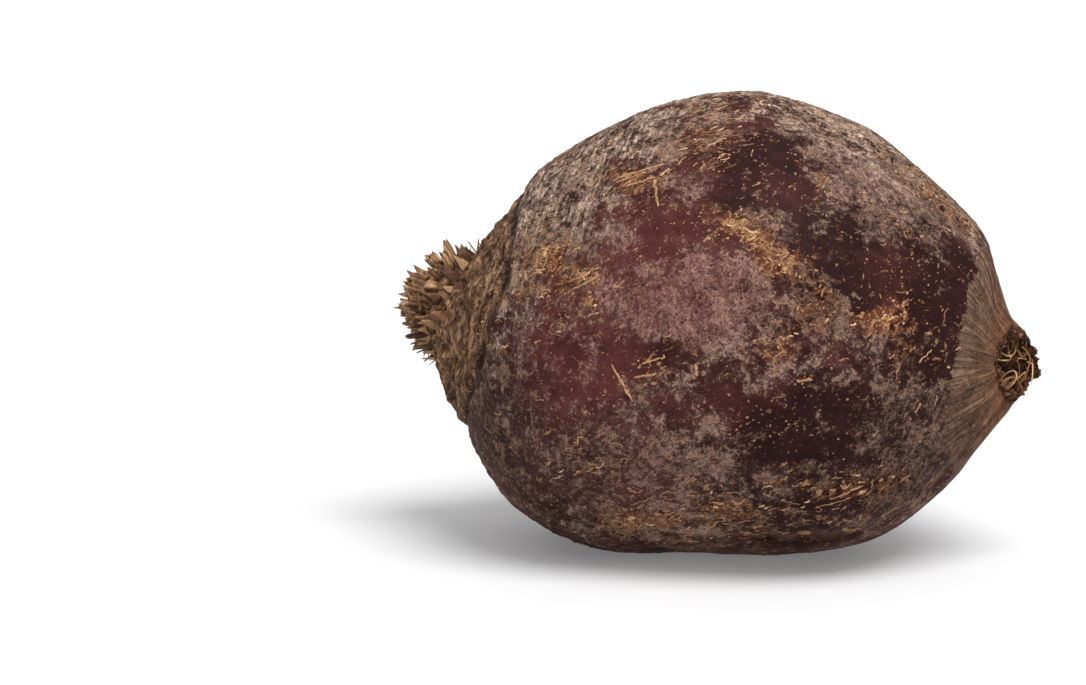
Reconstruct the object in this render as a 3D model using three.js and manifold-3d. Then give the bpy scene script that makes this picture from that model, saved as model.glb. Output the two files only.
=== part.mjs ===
// Whole beetroot lying on its side, as it settles on a table. Millimetres, +Z up.
// Its long axis runs along +X from the leaf crown to the root tip, and dips towards the tip.
// The origin is the centre of the small flat spot that it rests on.

import * as THREE from "three";
import { mergeVertices } from "three/addons/utils/BufferGeometryUtils.js";
import Module from "manifold-3d";

const wasm = await Module();
wasm.setup();

// Driving dimensions
const AXIS_DIP = THREE.MathUtils.degToRad(5.2);
const CROWN_HEIGHT = 50.4; // the axis's crown end above the rest plane
const REST_ALONG = 54; // the rest spot's place along the axis
const SIDES = 64; // faces round the root
const RING_STEP = 3.5; // distance from one ring of faces to the next
const NODE_GAP = 0.3;

// The root's outline in its long plane, from the crown to the floor of the torn taproot's mouth.
// Each station is one slanted ring: its upper and lower points as [along the axis, height off it],
// its half width, and how far its far side leans towards the tip, as the snapped end does.
const STATIONS = [
  { name: "crown centre", upper: [-1.8, -2.6], lower: [-1.8, -2.6], half: 0, lean: 0 },
  { name: "crown dome", upper: [0.2, 3.2], lower: [-2.8, -8.8], half: 6.2, lean: 0 },
  { name: "crown edge", upper: [2.8, 6.2], lower: [-2.0, -12.8], half: 9.8, lean: 0 },
  { name: "neck", upper: [5.6, 7.0], lower: [-0.3, -14.0], half: 10.6, lean: 0 },
  { name: "collar start", upper: [9.2, 9.8], lower: [1.4, -16.8], half: 13.4, lean: 0 },
  { name: "collar", upper: [12.2, 14.6], lower: [3.7, -21.3], half: 18.3, lean: 0 },
  { name: "collar end", upper: [16.3, 21.1], lower: [7.7, -27.3], half: 24.2, lean: 0 },
  { name: "shoulder start", upper: [19.7, 27.8], lower: [14.0, -34.0], half: 30.9, lean: 0 },
  { name: "shoulder", upper: [30.2, 35.4], lower: [23.6, -42.8], half: 39.1, lean: 0 },
  { name: "fore body", upper: [44.2, 42.0], lower: [38.0, -47.2], half: 44.6, lean: 0 },
  { name: "widest", upper: [60.8, 45.5], lower: [59.1, -45.7], half: 45.9, lean: 0 },
  { name: "hind body", upper: [78.4, 42.3], lower: [79.1, -42.5], half: 42.6, lean: 0 },
  { name: "cone shoulder", upper: [92.0, 34.6], lower: [93.5, -37.7], half: 36.2, lean: 0 },
  { name: "cone start", upper: [104.4, 24.9], lower: [103.6, -28.4], half: 26.6, lean: 0 },
  { name: "cone", upper: [109.3, 16.8], lower: [109.6, -19.0], half: 17.9, lean: 0 },
  { name: "cone end", upper: [112.1, 10.1], lower: [114.2, -11.6], half: 10.9, lean: 0.6 },
  { name: "taproot stub", upper: [114.2, 7.4], lower: [116.0, -8.2], half: 7.7, lean: 2.0 },
  { name: "torn rim", upper: [115.2, 6.4], lower: [116.9, -7.2], half: 6.8, lean: 2.8 },
  { name: "mouth edge", upper: [115.3, 5.1], lower: [116.9, -5.9], half: 5.5, lean: 2.8 },
  { name: "mouth wall", upper: [113.0, 4.3], lower: [114.2, -4.9], half: 4.5, lean: 1.8 },
  { name: "mouth floor", upper: [111.2, -0.3], lower: [111.2, -0.3], half: 0, lean: 0 },
];

// Relief of the skin
const LUMPS = [
  { wave: [0.11, 0.04, 0.05], phase: 0.6, height: 0.34 },
  { wave: [-0.05, 0.15, 0.06], phase: 2.1, height: 0.28 },
  { wave: [0.07, -0.08, 0.17], phase: 4.0, height: 0.24 },
  { wave: [0.2, 0.09, -0.12], phase: 1.2, height: 0.16 },
  { wave: [-0.16, 0.2, 0.14], phase: 5.3, height: 0.12 },
];
const RIBS = { count: 16, collarHeight: 0.5, coneHeight: 0.2 };
// The stretches that carry lumps and ribs: rise and fall say between which stations each fades in and out
const LUMPY = { rise: [2, 6], fall: [13, 15] };
const COLLAR = { rise: [3, 4.2], fall: [5.6, 6.6] };
const CONE = { rise: [12.6, 14], fall: [16.5, 17.5] };
const CREASE = { station: 6.15, wander: 0.2, spread: 0.2, depth: 0.6, uneven: 0.4 };
// Two rows of side-root scars, each in a shallow groove. Angles go from the top to the near side.
const SCAR_ROWS = [
  { angle: 14, twist: -5 },
  { angle: 146, twist: 6 },
];
const GROOVE = { from: 58, full: 84, to: 112, fall: [14, 16], depth: 0.9, spread: 2.4 };
const SCARS = { every: 7.5, depth: 0.55 };
// The snapped rim: waves as [count round it, phase, height]
const TORN = { rise: [16, 17], fall: [18, 19] };
const TEAR_WAVES = [
  [3, 0.5, 0.54],
  [7, 2, 0.38],
  [12, 0, 0.27],
];

// Fine dry roots at the torn end: they leave the mouth's wall, arch outwards and droop over the cone
const ROOTLETS = { count: 11, sides: 3, radius: 0.36, taper: 0.04, steps: 8, sunk: 2.5, seed: 41 };
const ROOTLET_STATION = [17.5, 18.3];
const ROOTLET_LENGTH = [7, 13];
const ROOTLET_ARCH = { outward: 0.9, inward: 0.35, turn: [0.15, 0.9] };
const ROOTLET_DRIFT = { x: [0.2, -0.8], y: [-0.75, 0.25], z: [-0.5, 0.5] };

// Dry leaf-stalk stubs on the crown
const STALKS = { count: 27, sides: 6, steps: 5, sunk: 2.2, blunt: 0.3, taper: 0.14, spread: 8.6, seed: 7 };
const STALK_LENGTH = [6.6, 3.8]; // from the middle outwards
const STALK_WIDTH = [3.0, 6.2];
const STALK_THICKNESS = [2.0, 1.3];
const STALK_LEAN = [4, 64];
const STALK_UNEVEN = { length: [0.75, 1.25], lean: [-5, 5], curl: 0.35 };
const STALK_CORE = { radius: 8.4, height: 2.2, fall: 0.045 };
const GOLDEN_ANGLE = Math.PI * (3 - Math.sqrt(5));

const skin = new THREE.MeshStandardMaterial({ name: "skin", color: 0x4a2c2b, roughness: 0.62 });
const dryStalk = new THREE.MeshStandardMaterial({ name: "dry_stalk", color: 0x9a7448, roughness: 0.85 });

// Seeded random numbers from 0 to 1
function randomFrom(seed) {
  let state = seed;
  return () => {
    state = (state + 0x6d2b79f5) | 0;
    let mixed = Math.imul(state ^ (state >>> 15), 1 | state);
    mixed = (mixed + Math.imul(mixed ^ (mixed >>> 7), 61 | mixed)) ^ mixed;
    return ((mixed ^ (mixed >>> 14)) >>> 0) / 4294967296;
  };
}

const { lerp, smoothstep, degToRad } = THREE.MathUtils;
const bell = (distance, spread) => Math.exp(-((distance / spread) ** 2));
const within = (station, { rise, fall }) => smoothstep(station, ...rise) * (1 - smoothstep(station, ...fall));

// Smooth curves through the stations, paired by their place in the list
const curveThrough = (pick) =>
  new THREE.CatmullRomCurve3(STATIONS.map((s) => new THREE.Vector3(...pick(s))), false, "catmullrom");
const upperCurve = curveThrough((s) => [...s.upper, 0]);
const lowerCurve = curveThrough((s) => [...s.lower, 0]);
const widthCurve = curveThrough((s) => [s.half, s.lean, 0]);
const SPANS = STATIONS.length - 1;

// A point of the plain form, in the axis's frame: x along the axis, y to the far side, z off the axis.
// The angle goes round from the top to the near side.
function plainPoint(station, angle) {
  const share = station / SPANS;
  const upper = upperCurve.getPoint(share);
  const lower = lowerCurve.getPoint(share);
  const { x: half, y: lean } = widthCurve.getPoint(share);
  const middle = upper.clone().add(lower).multiplyScalar(0.5);
  const reach = upper.clone().sub(lower).multiplyScalar(0.5 * Math.cos(angle));
  const side = Math.sin(angle);
  return new THREE.Vector3(middle.x + reach.x - lean * side, -half * side, middle.y + reach.y);
}

// The outward normal of the plain form, from two small steps across it
function plainNormal(station, angle) {
  const step = 0.02;
  const turn = 0.01;
  const low = Math.max(station - step, step / 2);
  const high = Math.min(station + step, SPANS - step / 2);
  const along = plainPoint(high, angle).sub(plainPoint(low, angle));
  const middle = (low + high) / 2;
  const round = plainPoint(middle, angle + turn).sub(plainPoint(middle, angle - turn));
  return round.cross(along).normalize();
}

// How far the skin stands out of the plain form
function relief(station, angle, point) {
  let height = 0;
  for (const lump of LUMPS) {
    height += lump.height * Math.sin(new THREE.Vector3(...lump.wave).dot(point) + lump.phase);
  }
  height *= within(station, LUMPY);
  height += RIBS.collarHeight * within(station, COLLAR) * Math.sin(RIBS.count * angle + station);
  height += RIBS.coneHeight * within(station, CONE) * Math.sin(RIBS.count * angle);
  const crease = CREASE.depth * (1 - CREASE.uneven + CREASE.uneven * Math.sin(2 * angle + 1));
  height -= crease * bell(station - CREASE.station - CREASE.wander * Math.sin(3 * angle), CREASE.spread);
  const grooved = smoothstep(point.x, GROOVE.from, GROOVE.full) * (1 - smoothstep(station, ...GROOVE.fall));
  for (const row of SCAR_ROWS) {
    const share = (point.x - GROOVE.from) / (GROOVE.to - GROOVE.from);
    const turned = angle - degToRad(row.angle + row.twist * share);
    const across = Math.atan2(Math.sin(turned), Math.cos(turned)) * Math.hypot(point.y, point.z);
    const scar = SCARS.depth * Math.cos((2 * Math.PI * point.x) / SCARS.every);
    height -= grooved * (GROOVE.depth + scar) * bell(across, GROOVE.spread);
  }
  return height;
}

// How far the snapped rim reaches along the axis
function tear(station, angle) {
  const ragged = TEAR_WAVES.map(([count, phase, height]) => height * Math.sin(count * angle + phase));
  return within(station, TORN) * ragged.reduce((sum, wave) => sum + wave, 0);
}

// A point of the skin in the axis's frame, pushed out by a clearance
function skinPoint(station, angle, clearance) {
  const point = plainPoint(station, angle);
  const out = plainNormal(station, angle);
  point.addScaledVector(out, relief(station, angle, point) + clearance);
  point.x += tear(station, angle);
  return point;
}

// Where the rings of faces lie, in stations: closer together where stations are
function ringPlaces() {
  const places = [];
  for (let span = 0; span < SPANS; span += 1) {
    const length = plainPoint(span + 1, 0).distanceTo(plainPoint(span, 0));
    const rings = Math.max(1, Math.round(length / RING_STEP));
    for (let ring = span === 0 ? 1 : 0; ring < rings; ring += 1) {
      places.push(span + ring / rings);
    }
  }
  return places;
}

// One closed body from rings of points, closed by a single point at each end
function closedRings(start, rings, end) {
  const sides = rings[0].length;
  const points = [start, ...rings.flat(), end];
  const last = points.length - 1;
  const faces = [];
  for (let side = 0; side < sides; side += 1) {
    const next = (side + 1) % sides;
    faces.push(0, 1 + next, 1 + side);
    for (let ring = 0; ring < rings.length - 1; ring += 1) {
      const here = 1 + ring * sides;
      const beyond = here + sides;
      faces.push(here + side, here + next, beyond + next, here + side, beyond + next, beyond + side);
    }
    faces.push(last - sides + side, last - sides + next, last);
  }
  const geometry = new THREE.BufferGeometry().setFromPoints(points);
  geometry.setIndex(faces);
  return geometry;
}

function toSolid(geometry) {
  const bare = geometry.clone();
  bare.deleteAttribute("normal");
  bare.deleteAttribute("uv");
  const merged = mergeVertices(bare, 1e-4);
  const vertProperties = new Float32Array(merged.attributes.position.array);
  const triVerts = new Uint32Array(merged.index.array);
  return new wasm.Manifold(new wasm.Mesh({ numProp: 3, vertProperties, triVerts }));
}

function toMesh(name, solid, material) {
  const { vertProperties, triVerts } = solid.getMesh();
  const geometry = new THREE.BufferGeometry();
  geometry.setAttribute("position", new THREE.BufferAttribute(new Float32Array(vertProperties), 3));
  geometry.setIndex(new THREE.BufferAttribute(new Uint32Array(triVerts), 1));
  geometry.computeVertexNormals();
  const mesh = new THREE.Mesh(geometry, material);
  mesh.name = name;
  return mesh;
}

// The biggest body of a solid, without loose scraps
const mainBody = (solid) => solid.decompose().reduce((a, b) => (a.volume() > b.volume() ? a : b));

// From the axis's frame to the part's own frame
const settle = new THREE.Matrix4()
  .makeTranslation(-REST_ALONG, 0, CROWN_HEIGHT)
  .multiply(new THREE.Matrix4().makeRotationY(AXIS_DIP));

// The root's skin as one closed body in the part's frame
function skinSolid(clearance) {
  const rings = ringPlaces().map((station) =>
    Array.from({ length: SIDES }, (_, side) => {
      const angle = (2 * Math.PI * side) / SIDES;
      return skinPoint(station, angle, clearance);
    }),
  );
  const start = plainPoint(0, 0).addScaledVector(crownDirection, clearance);
  const end = plainPoint(SPANS, 0);
  return toSolid(closedRings(start, rings, end).applyMatrix4(settle));
}

// A tapered stem along a path, with an oval section of the given half widths at each step
function stem(path, halfWidths, halfThicknesses, sides, across) {
  const rings = path.slice(1, -1).map((point, i) => {
    const ahead = path[i + 2].clone().sub(path[i]).normalize();
    const wide = across.clone().addScaledVector(ahead, -across.dot(ahead)).normalize();
    const thick = ahead.clone().cross(wide);
    return Array.from({ length: sides }, (_, side) => {
      const angle = (2 * Math.PI * side) / sides;
      return point
        .clone()
        .addScaledVector(wide, halfWidths[i] * Math.cos(angle))
        .addScaledVector(thick, halfThicknesses[i] * Math.sin(angle));
    });
  });
  return closedRings(path[0], rings, path[path.length - 1]);
}

// The direction in which the crown points, square to its edge ring
const crownEdge = plainPoint(2, 0).sub(plainPoint(2, Math.PI)).normalize();
const crownDirection = new THREE.Vector3(-crownEdge.z, 0, crownEdge.x);
const crownSide = new THREE.Vector3(0, 1, 0);

// Fine curled roots: each starts inside the torn mouth's wall and bends back over the cone
function rootlets() {
  const random = randomFrom(ROOTLETS.seed);
  const solids = [];
  for (let i = 0; i < ROOTLETS.count; i += 1) {
    const angle = (2 * Math.PI * (i + 0.6 * random())) / ROOTLETS.count;
    const length = lerp(...ROOTLET_LENGTH, random());
    const foot = skinPoint(lerp(...ROOTLET_STATION, random()), angle, 0);
    const inward = new THREE.Vector3(ROOTLET_ARCH.inward, Math.sin(angle), -Math.cos(angle)).normalize();
    const drift = new THREE.Vector3();
    for (const axis of ["x", "y", "z"]) {
      drift[axis] = lerp(...ROOTLET_DRIFT[axis], random());
    }
    drift.normalize();
    foot.x -= ROOTLETS.sunk;
    const path = [foot];
    for (let step = 1; step <= ROOTLETS.steps; step += 1) {
      const share = step / ROOTLETS.steps;
      const heading = inward.clone().lerp(drift, smoothstep(share, ...ROOTLET_ARCH.turn)).normalize();
      heading.x += ROOTLET_ARCH.outward * (1 - smoothstep(share, 0, 0.5));
      path.push(path[step - 1].clone().addScaledVector(heading.normalize(), length / ROOTLETS.steps));
    }
    const radii = path.slice(1, -1).map((_, step) => ROOTLETS.radius * (1 - ROOTLETS.taper * step));
    const across = new THREE.Vector3(0.3, 0.5, 0.8).normalize();
    solids.push(toSolid(stem(path, radii, radii, ROOTLETS.sides, across).applyMatrix4(settle)));
  }
  return solids;
}

// Everything below the rest plane
function belowRest() {
  const size = 200;
  const box = new THREE.BoxGeometry(size, size, size);
  return toSolid(box.translate(0, 0, -size / 2));
}

function makeRoot() {
  let solid = skinSolid(0).subtract(belowRest());
  for (const rootlet of rootlets()) {
    solid = solid.add(rootlet);
  }
  return toMesh("root", mainBody(solid), skin);
}

// Withered leaf-stalk stubs in a spiral on a low core, older and flatter towards the outside
function stalkStubs() {
  const random = randomFrom(STALKS.seed);
  const centre = plainPoint(0, 0);
  const solids = [];
  for (let i = 0; i < STALKS.count; i += 1) {
    const share = i / (STALKS.count - 1);
    const turn = i * GOLDEN_ANGLE;
    const outward = crownEdge.clone().multiplyScalar(Math.cos(turn));
    outward.addScaledVector(crownSide, Math.sin(turn));
    const lean = degToRad(lerp(...STALK_LEAN, share) + lerp(...STALK_UNEVEN.lean, random()));
    const heading = crownDirection.clone().multiplyScalar(Math.cos(lean));
    heading.addScaledVector(outward, Math.sin(lean));
    const radius = STALKS.spread * Math.sqrt(share);
    const foot = centre.clone().addScaledVector(outward, radius);
    foot.addScaledVector(crownDirection, STALK_CORE.height / 2 - STALK_CORE.fall * radius ** 2);
    const length = lerp(...STALK_LENGTH, share) * lerp(...STALK_UNEVEN.length, random());
    const path = [foot.clone().addScaledVector(heading, -STALKS.sunk)];
    for (let step = 1; step <= STALKS.steps; step += 1) {
      const bend = heading.clone().addScaledVector(crownDirection, (STALK_UNEVEN.curl * step) / STALKS.steps);
      const stride = step < STALKS.steps ? (length + STALKS.sunk) / (STALKS.steps - 1) : STALKS.blunt;
      path.push(path[step - 1].clone().addScaledVector(bend.normalize(), stride));
    }
    const width = lerp(...STALK_WIDTH, share) / 2;
    const thickness = lerp(...STALK_THICKNESS, share) / 2;
    const taper = path.slice(1, -1).map((_, step) => 1 - STALKS.taper * step);
    const across = crownDirection.clone().cross(outward);
    const halfWidths = taper.map((t) => t * width);
    const halfThicknesses = taper.map((t) => t * thickness);
    const tube = stem(path, halfWidths, halfThicknesses, STALKS.sides, across);
    solids.push(toSolid(tube.applyMatrix4(settle)));
  }
  return solids;
}

// The low dome that the stubs grow from
function stalkCore() {
  const dome = new THREE.SphereGeometry(1, 28, 14);
  dome.rotateX(Math.PI / 2);
  dome.scale(STALK_CORE.radius, STALK_CORE.radius, STALK_CORE.height);
  const stand = new THREE.Matrix4().makeBasis(crownEdge, crownSide, crownDirection);
  stand.setPosition(plainPoint(0, 0));
  return toSolid(dome.applyMatrix4(settle.clone().multiply(stand)));
}

function makeCrownStalks() {
  let solid = stalkCore();
  for (const stub of stalkStubs()) {
    solid = solid.add(stub);
  }
  return toMesh("crown_stalks", mainBody(solid.subtract(skinSolid(NODE_GAP))), dryStalk);
}

const beetroot = new THREE.Group();
beetroot.name = "beetroot";
beetroot.add(makeRoot(), makeCrownStalks());

export default beetroot;
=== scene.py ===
"""A whole beetroot lying on its side, finished for a close view from every direction.

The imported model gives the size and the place. This script lays a finer skin over the same form, with dark
bare patches, grey scurf, cork marks, side-root scars, a torn taproot and withered leaf stalks. Then it
sets up a plain studio. Lengths are millimetres until a mesh is made, which turns them into Blender's metres.
"""

import itertools
import logging
import math
from dataclasses import dataclass, field
from enum import Enum
from typing import NamedTuple

import bpy
import numpy as np
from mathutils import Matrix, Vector


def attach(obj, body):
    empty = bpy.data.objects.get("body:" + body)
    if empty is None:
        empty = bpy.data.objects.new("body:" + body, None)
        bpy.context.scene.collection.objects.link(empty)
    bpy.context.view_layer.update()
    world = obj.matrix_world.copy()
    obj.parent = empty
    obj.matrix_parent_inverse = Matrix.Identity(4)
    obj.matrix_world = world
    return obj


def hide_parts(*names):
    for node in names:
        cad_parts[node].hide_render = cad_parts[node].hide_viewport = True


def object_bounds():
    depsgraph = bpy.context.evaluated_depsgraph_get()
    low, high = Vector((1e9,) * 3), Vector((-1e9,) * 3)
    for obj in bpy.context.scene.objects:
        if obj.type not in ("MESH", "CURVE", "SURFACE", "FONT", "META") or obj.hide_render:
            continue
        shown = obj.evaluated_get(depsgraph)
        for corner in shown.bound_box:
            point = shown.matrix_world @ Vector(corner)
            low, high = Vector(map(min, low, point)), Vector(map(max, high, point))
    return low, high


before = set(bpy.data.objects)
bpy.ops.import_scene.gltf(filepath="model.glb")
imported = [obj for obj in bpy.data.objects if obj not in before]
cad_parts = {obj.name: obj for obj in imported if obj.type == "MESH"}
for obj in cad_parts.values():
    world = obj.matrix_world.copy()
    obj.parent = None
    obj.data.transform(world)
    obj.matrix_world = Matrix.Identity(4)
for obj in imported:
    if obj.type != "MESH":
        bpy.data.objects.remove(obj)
CAD_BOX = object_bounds()

log = logging.getLogger("beetroot")

METRE = 1000.0
BODY = "root"
BAKE_MAP = "OFBake"
GOLDEN_ANGLE = math.pi * (3 - math.sqrt(5))
Array = np.ndarray
Tint = tuple[int, int, int]


class Slot(Enum):
    """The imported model's material slots."""

    SKIN = "skin"
    DRY_STALK = "dry_stalk"


# Numbers and directions


def smooth_step(value: Array, low: float, high: float) -> Array:
    """Eases from 0 at low to 1 at high.

    Args:
        value: Numbers to ease.
        low: Where the result leaves 0.
        high: Where the result reaches 1.

    Returns:
        Numbers from 0 to 1.
    """
    share = np.clip((np.asarray(value, float) - low) / (high - low), 0, 1)
    return share * share * (3 - 2 * share)


def bell(distance: Array, spread: float | Array) -> Array:
    """Returns 1 at no distance, falling smoothly to nothing past about two spreads."""
    return np.exp(-((distance / spread) ** 2))


def lerp(low: float | Array, high: float | Array, share: float | Array) -> float | Array:
    """Returns the value that lies a share of the way from low to high."""
    return low + (high - low) * share


def unit(vectors: Array) -> Array:
    """Returns the vectors at length 1."""
    return vectors / np.linalg.norm(vectors, axis=-1, keepdims=True)


def wrapped(angle: Array) -> Array:
    """Returns the angle brought between minus and plus half a turn."""
    return np.arctan2(np.sin(angle), np.cos(angle))


def through(rows: Array, place: Array) -> Array:
    """Reads a smooth curve through rows of numbers.

    Args:
        rows: One row for each knot of the curve.
        place: Where to read it, from 0 at the first row to 1 at the last.

    Returns:
        The curve's rows at those places.
    """
    spans = len(rows) - 1
    reach = np.clip(np.asarray(place, float) * spans, 0, spans)
    knot = np.minimum(reach.astype(int), spans - 1)
    share = (reach - knot)[..., None]
    ends = np.vstack([2 * rows[0] - rows[1], rows, 2 * rows[-1] - rows[-2]])
    before, here, beyond, after = (ends[knot + step] for step in range(4))
    leave = (beyond - before) / 2
    arrive = (after - here) / 2
    cubic = 2 * here - 2 * beyond + leave + arrive
    square = -3 * here + 3 * beyond - 2 * leave - arrive
    return ((cubic * share + square) * share + leave) * share + here


class SeededDraws:
    """Numbers from 0 to 1 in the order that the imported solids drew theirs."""

    MASK = 0xFFFFFFFF

    def __init__(self, seed: int) -> None:
        """Starts the draws from a seed."""
        self.state = seed

    def draw(self) -> float:
        """Returns the next number."""
        self.state = (self.state + 0x6D2B79F5) & self.MASK
        mixed = ((self.state ^ (self.state >> 15)) * (1 | self.state)) & self.MASK
        turned = ((mixed ^ (mixed >> 7)) * (61 | mixed)) & self.MASK
        mixed = ((mixed + turned) & self.MASK) ^ mixed
        return (mixed ^ (mixed >> 14)) / (self.MASK + 1)

    def between(self, low: float, high: float) -> float:
        """Returns the next number, spread from low to high."""
        return low + (high - low) * self.draw()


@dataclass(frozen=True)
class SmoothNoise:
    """Seeded noise in space, the same on each run."""

    seed: int

    def _corner(self, cells: Array) -> Array:
        """Returns one number from -1 to 1 for each lattice corner.

        Args:
            cells: The corners' whole numbers.

        Returns:
            The numbers.
        """
        mask = np.int64(0xFFFFFFFF)
        mixed = (cells @ np.array([374761393, 668265263, 1442695041]) + self.seed * 144665) & mask
        mixed = ((mixed ^ (mixed >> 13)) * 1274126177) & mask
        mixed = ((mixed ^ (mixed >> 16)) * 668265263) & mask
        return ((mixed ^ (mixed >> 15)) & mask) / 2.0**31 - 1

    def _layer(self, places: Array) -> Array:
        """Returns one octave of noise at places measured in lattice cells.

        Args:
            places: Where it is read.

        Returns:
            Numbers from about -1 to 1.
        """
        base = np.floor(places).astype(np.int64)
        part = places - base
        ease = part**3 * (part * (part * 6 - 15) + 10)
        total = np.zeros(places.shape[:-1])
        for corner in itertools.product((0, 1), repeat=3):
            share = np.prod(np.where(corner, ease, 1 - ease), axis=-1)
            total += share * self._corner(base + np.array(corner))
        return total

    def at(self, points: Array, size: float, octaves: int = 1) -> Array:
        """Reads the noise.

        Args:
            points: Places in space.
            size: Size of the largest lumps, in the same unit.
            octaves: How many layers to add, each half as large and half as strong.

        Returns:
            Numbers that stay mostly between -1 and 1.
        """
        total = np.zeros(points.shape[:-1])
        for octave in range(octaves):
            shift = 31.7 * octave + 0.37
            total += self._layer(points * (2**octave / size) + shift) * 0.5**octave
        return total


# The root's form, as packed


class Station(NamedTuple):
    """One slanted ring of the outline: upper and lower point as along and high, half width and lean."""

    upper: tuple[float, float]
    lower: tuple[float, float]
    half: float
    lean: float = 0.0


STATIONS = {
    "crown centre": Station((-1.8, -2.6), (-1.8, -2.6), 0),
    "crown dome": Station((0.2, 3.2), (-2.8, -8.8), 6.2),
    "crown edge": Station((2.8, 6.2), (-2.0, -12.8), 9.8),
    "neck": Station((5.6, 7.0), (-0.3, -14.0), 10.6),
    "collar start": Station((9.2, 9.8), (1.4, -16.8), 13.4),
    "collar": Station((12.2, 14.6), (3.7, -21.3), 18.3),
    "collar end": Station((16.3, 21.1), (7.7, -27.3), 24.2),
    "shoulder start": Station((19.7, 27.8), (14.0, -34.0), 30.9),
    "shoulder": Station((30.2, 35.4), (23.6, -42.8), 39.1),
    "fore body": Station((44.2, 42.0), (38.0, -47.2), 44.6),
    "widest": Station((60.8, 45.5), (59.1, -45.7), 45.9),
    "hind body": Station((78.4, 42.3), (79.1, -42.5), 42.6),
    "cone shoulder": Station((92.0, 34.6), (93.5, -37.7), 36.2),
    "cone start": Station((104.4, 24.9), (103.6, -28.4), 26.6),
    "cone": Station((109.3, 16.8), (109.6, -19.0), 17.9),
    "cone end": Station((112.1, 10.1), (114.2, -11.6), 10.9, 0.6),
    "taproot stub": Station((114.2, 7.4), (116.0, -8.2), 7.7, 2.0),
    "torn rim": Station((115.2, 6.4), (116.9, -7.2), 6.8, 2.8),
    "mouth edge": Station((115.3, 5.1), (116.9, -5.9), 5.5, 2.8),
    "mouth wall": Station((113.0, 4.3), (114.2, -4.9), 4.5, 1.8),
    "mouth floor": Station((111.2, -0.3), (111.2, -0.3), 0),
}
SPANS = len(STATIONS) - 1
PROBE = 0.05


@dataclass(frozen=True)
class Fade:
    """A stretch of stations that fades in over the rise and out over the fall."""

    rise: tuple[float, float]
    fall: tuple[float, float] = (SPANS + 1, SPANS + 2)

    def at(self, station: Array) -> Array:
        """Returns the weight at each station, from 0 to 1."""
        return smooth_step(station, *self.rise) * (1 - smooth_step(station, *self.fall))


class Wave(NamedTuple):
    """One of the slow waves whose sum makes the body's lumps."""

    along: float
    across: float
    high: float
    phase: float
    height: float


class ScarRow(NamedTuple):
    """A row of side-root scars: its angle where it starts and its twist by the tip, in degrees."""

    angle: float
    twist: float


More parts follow.
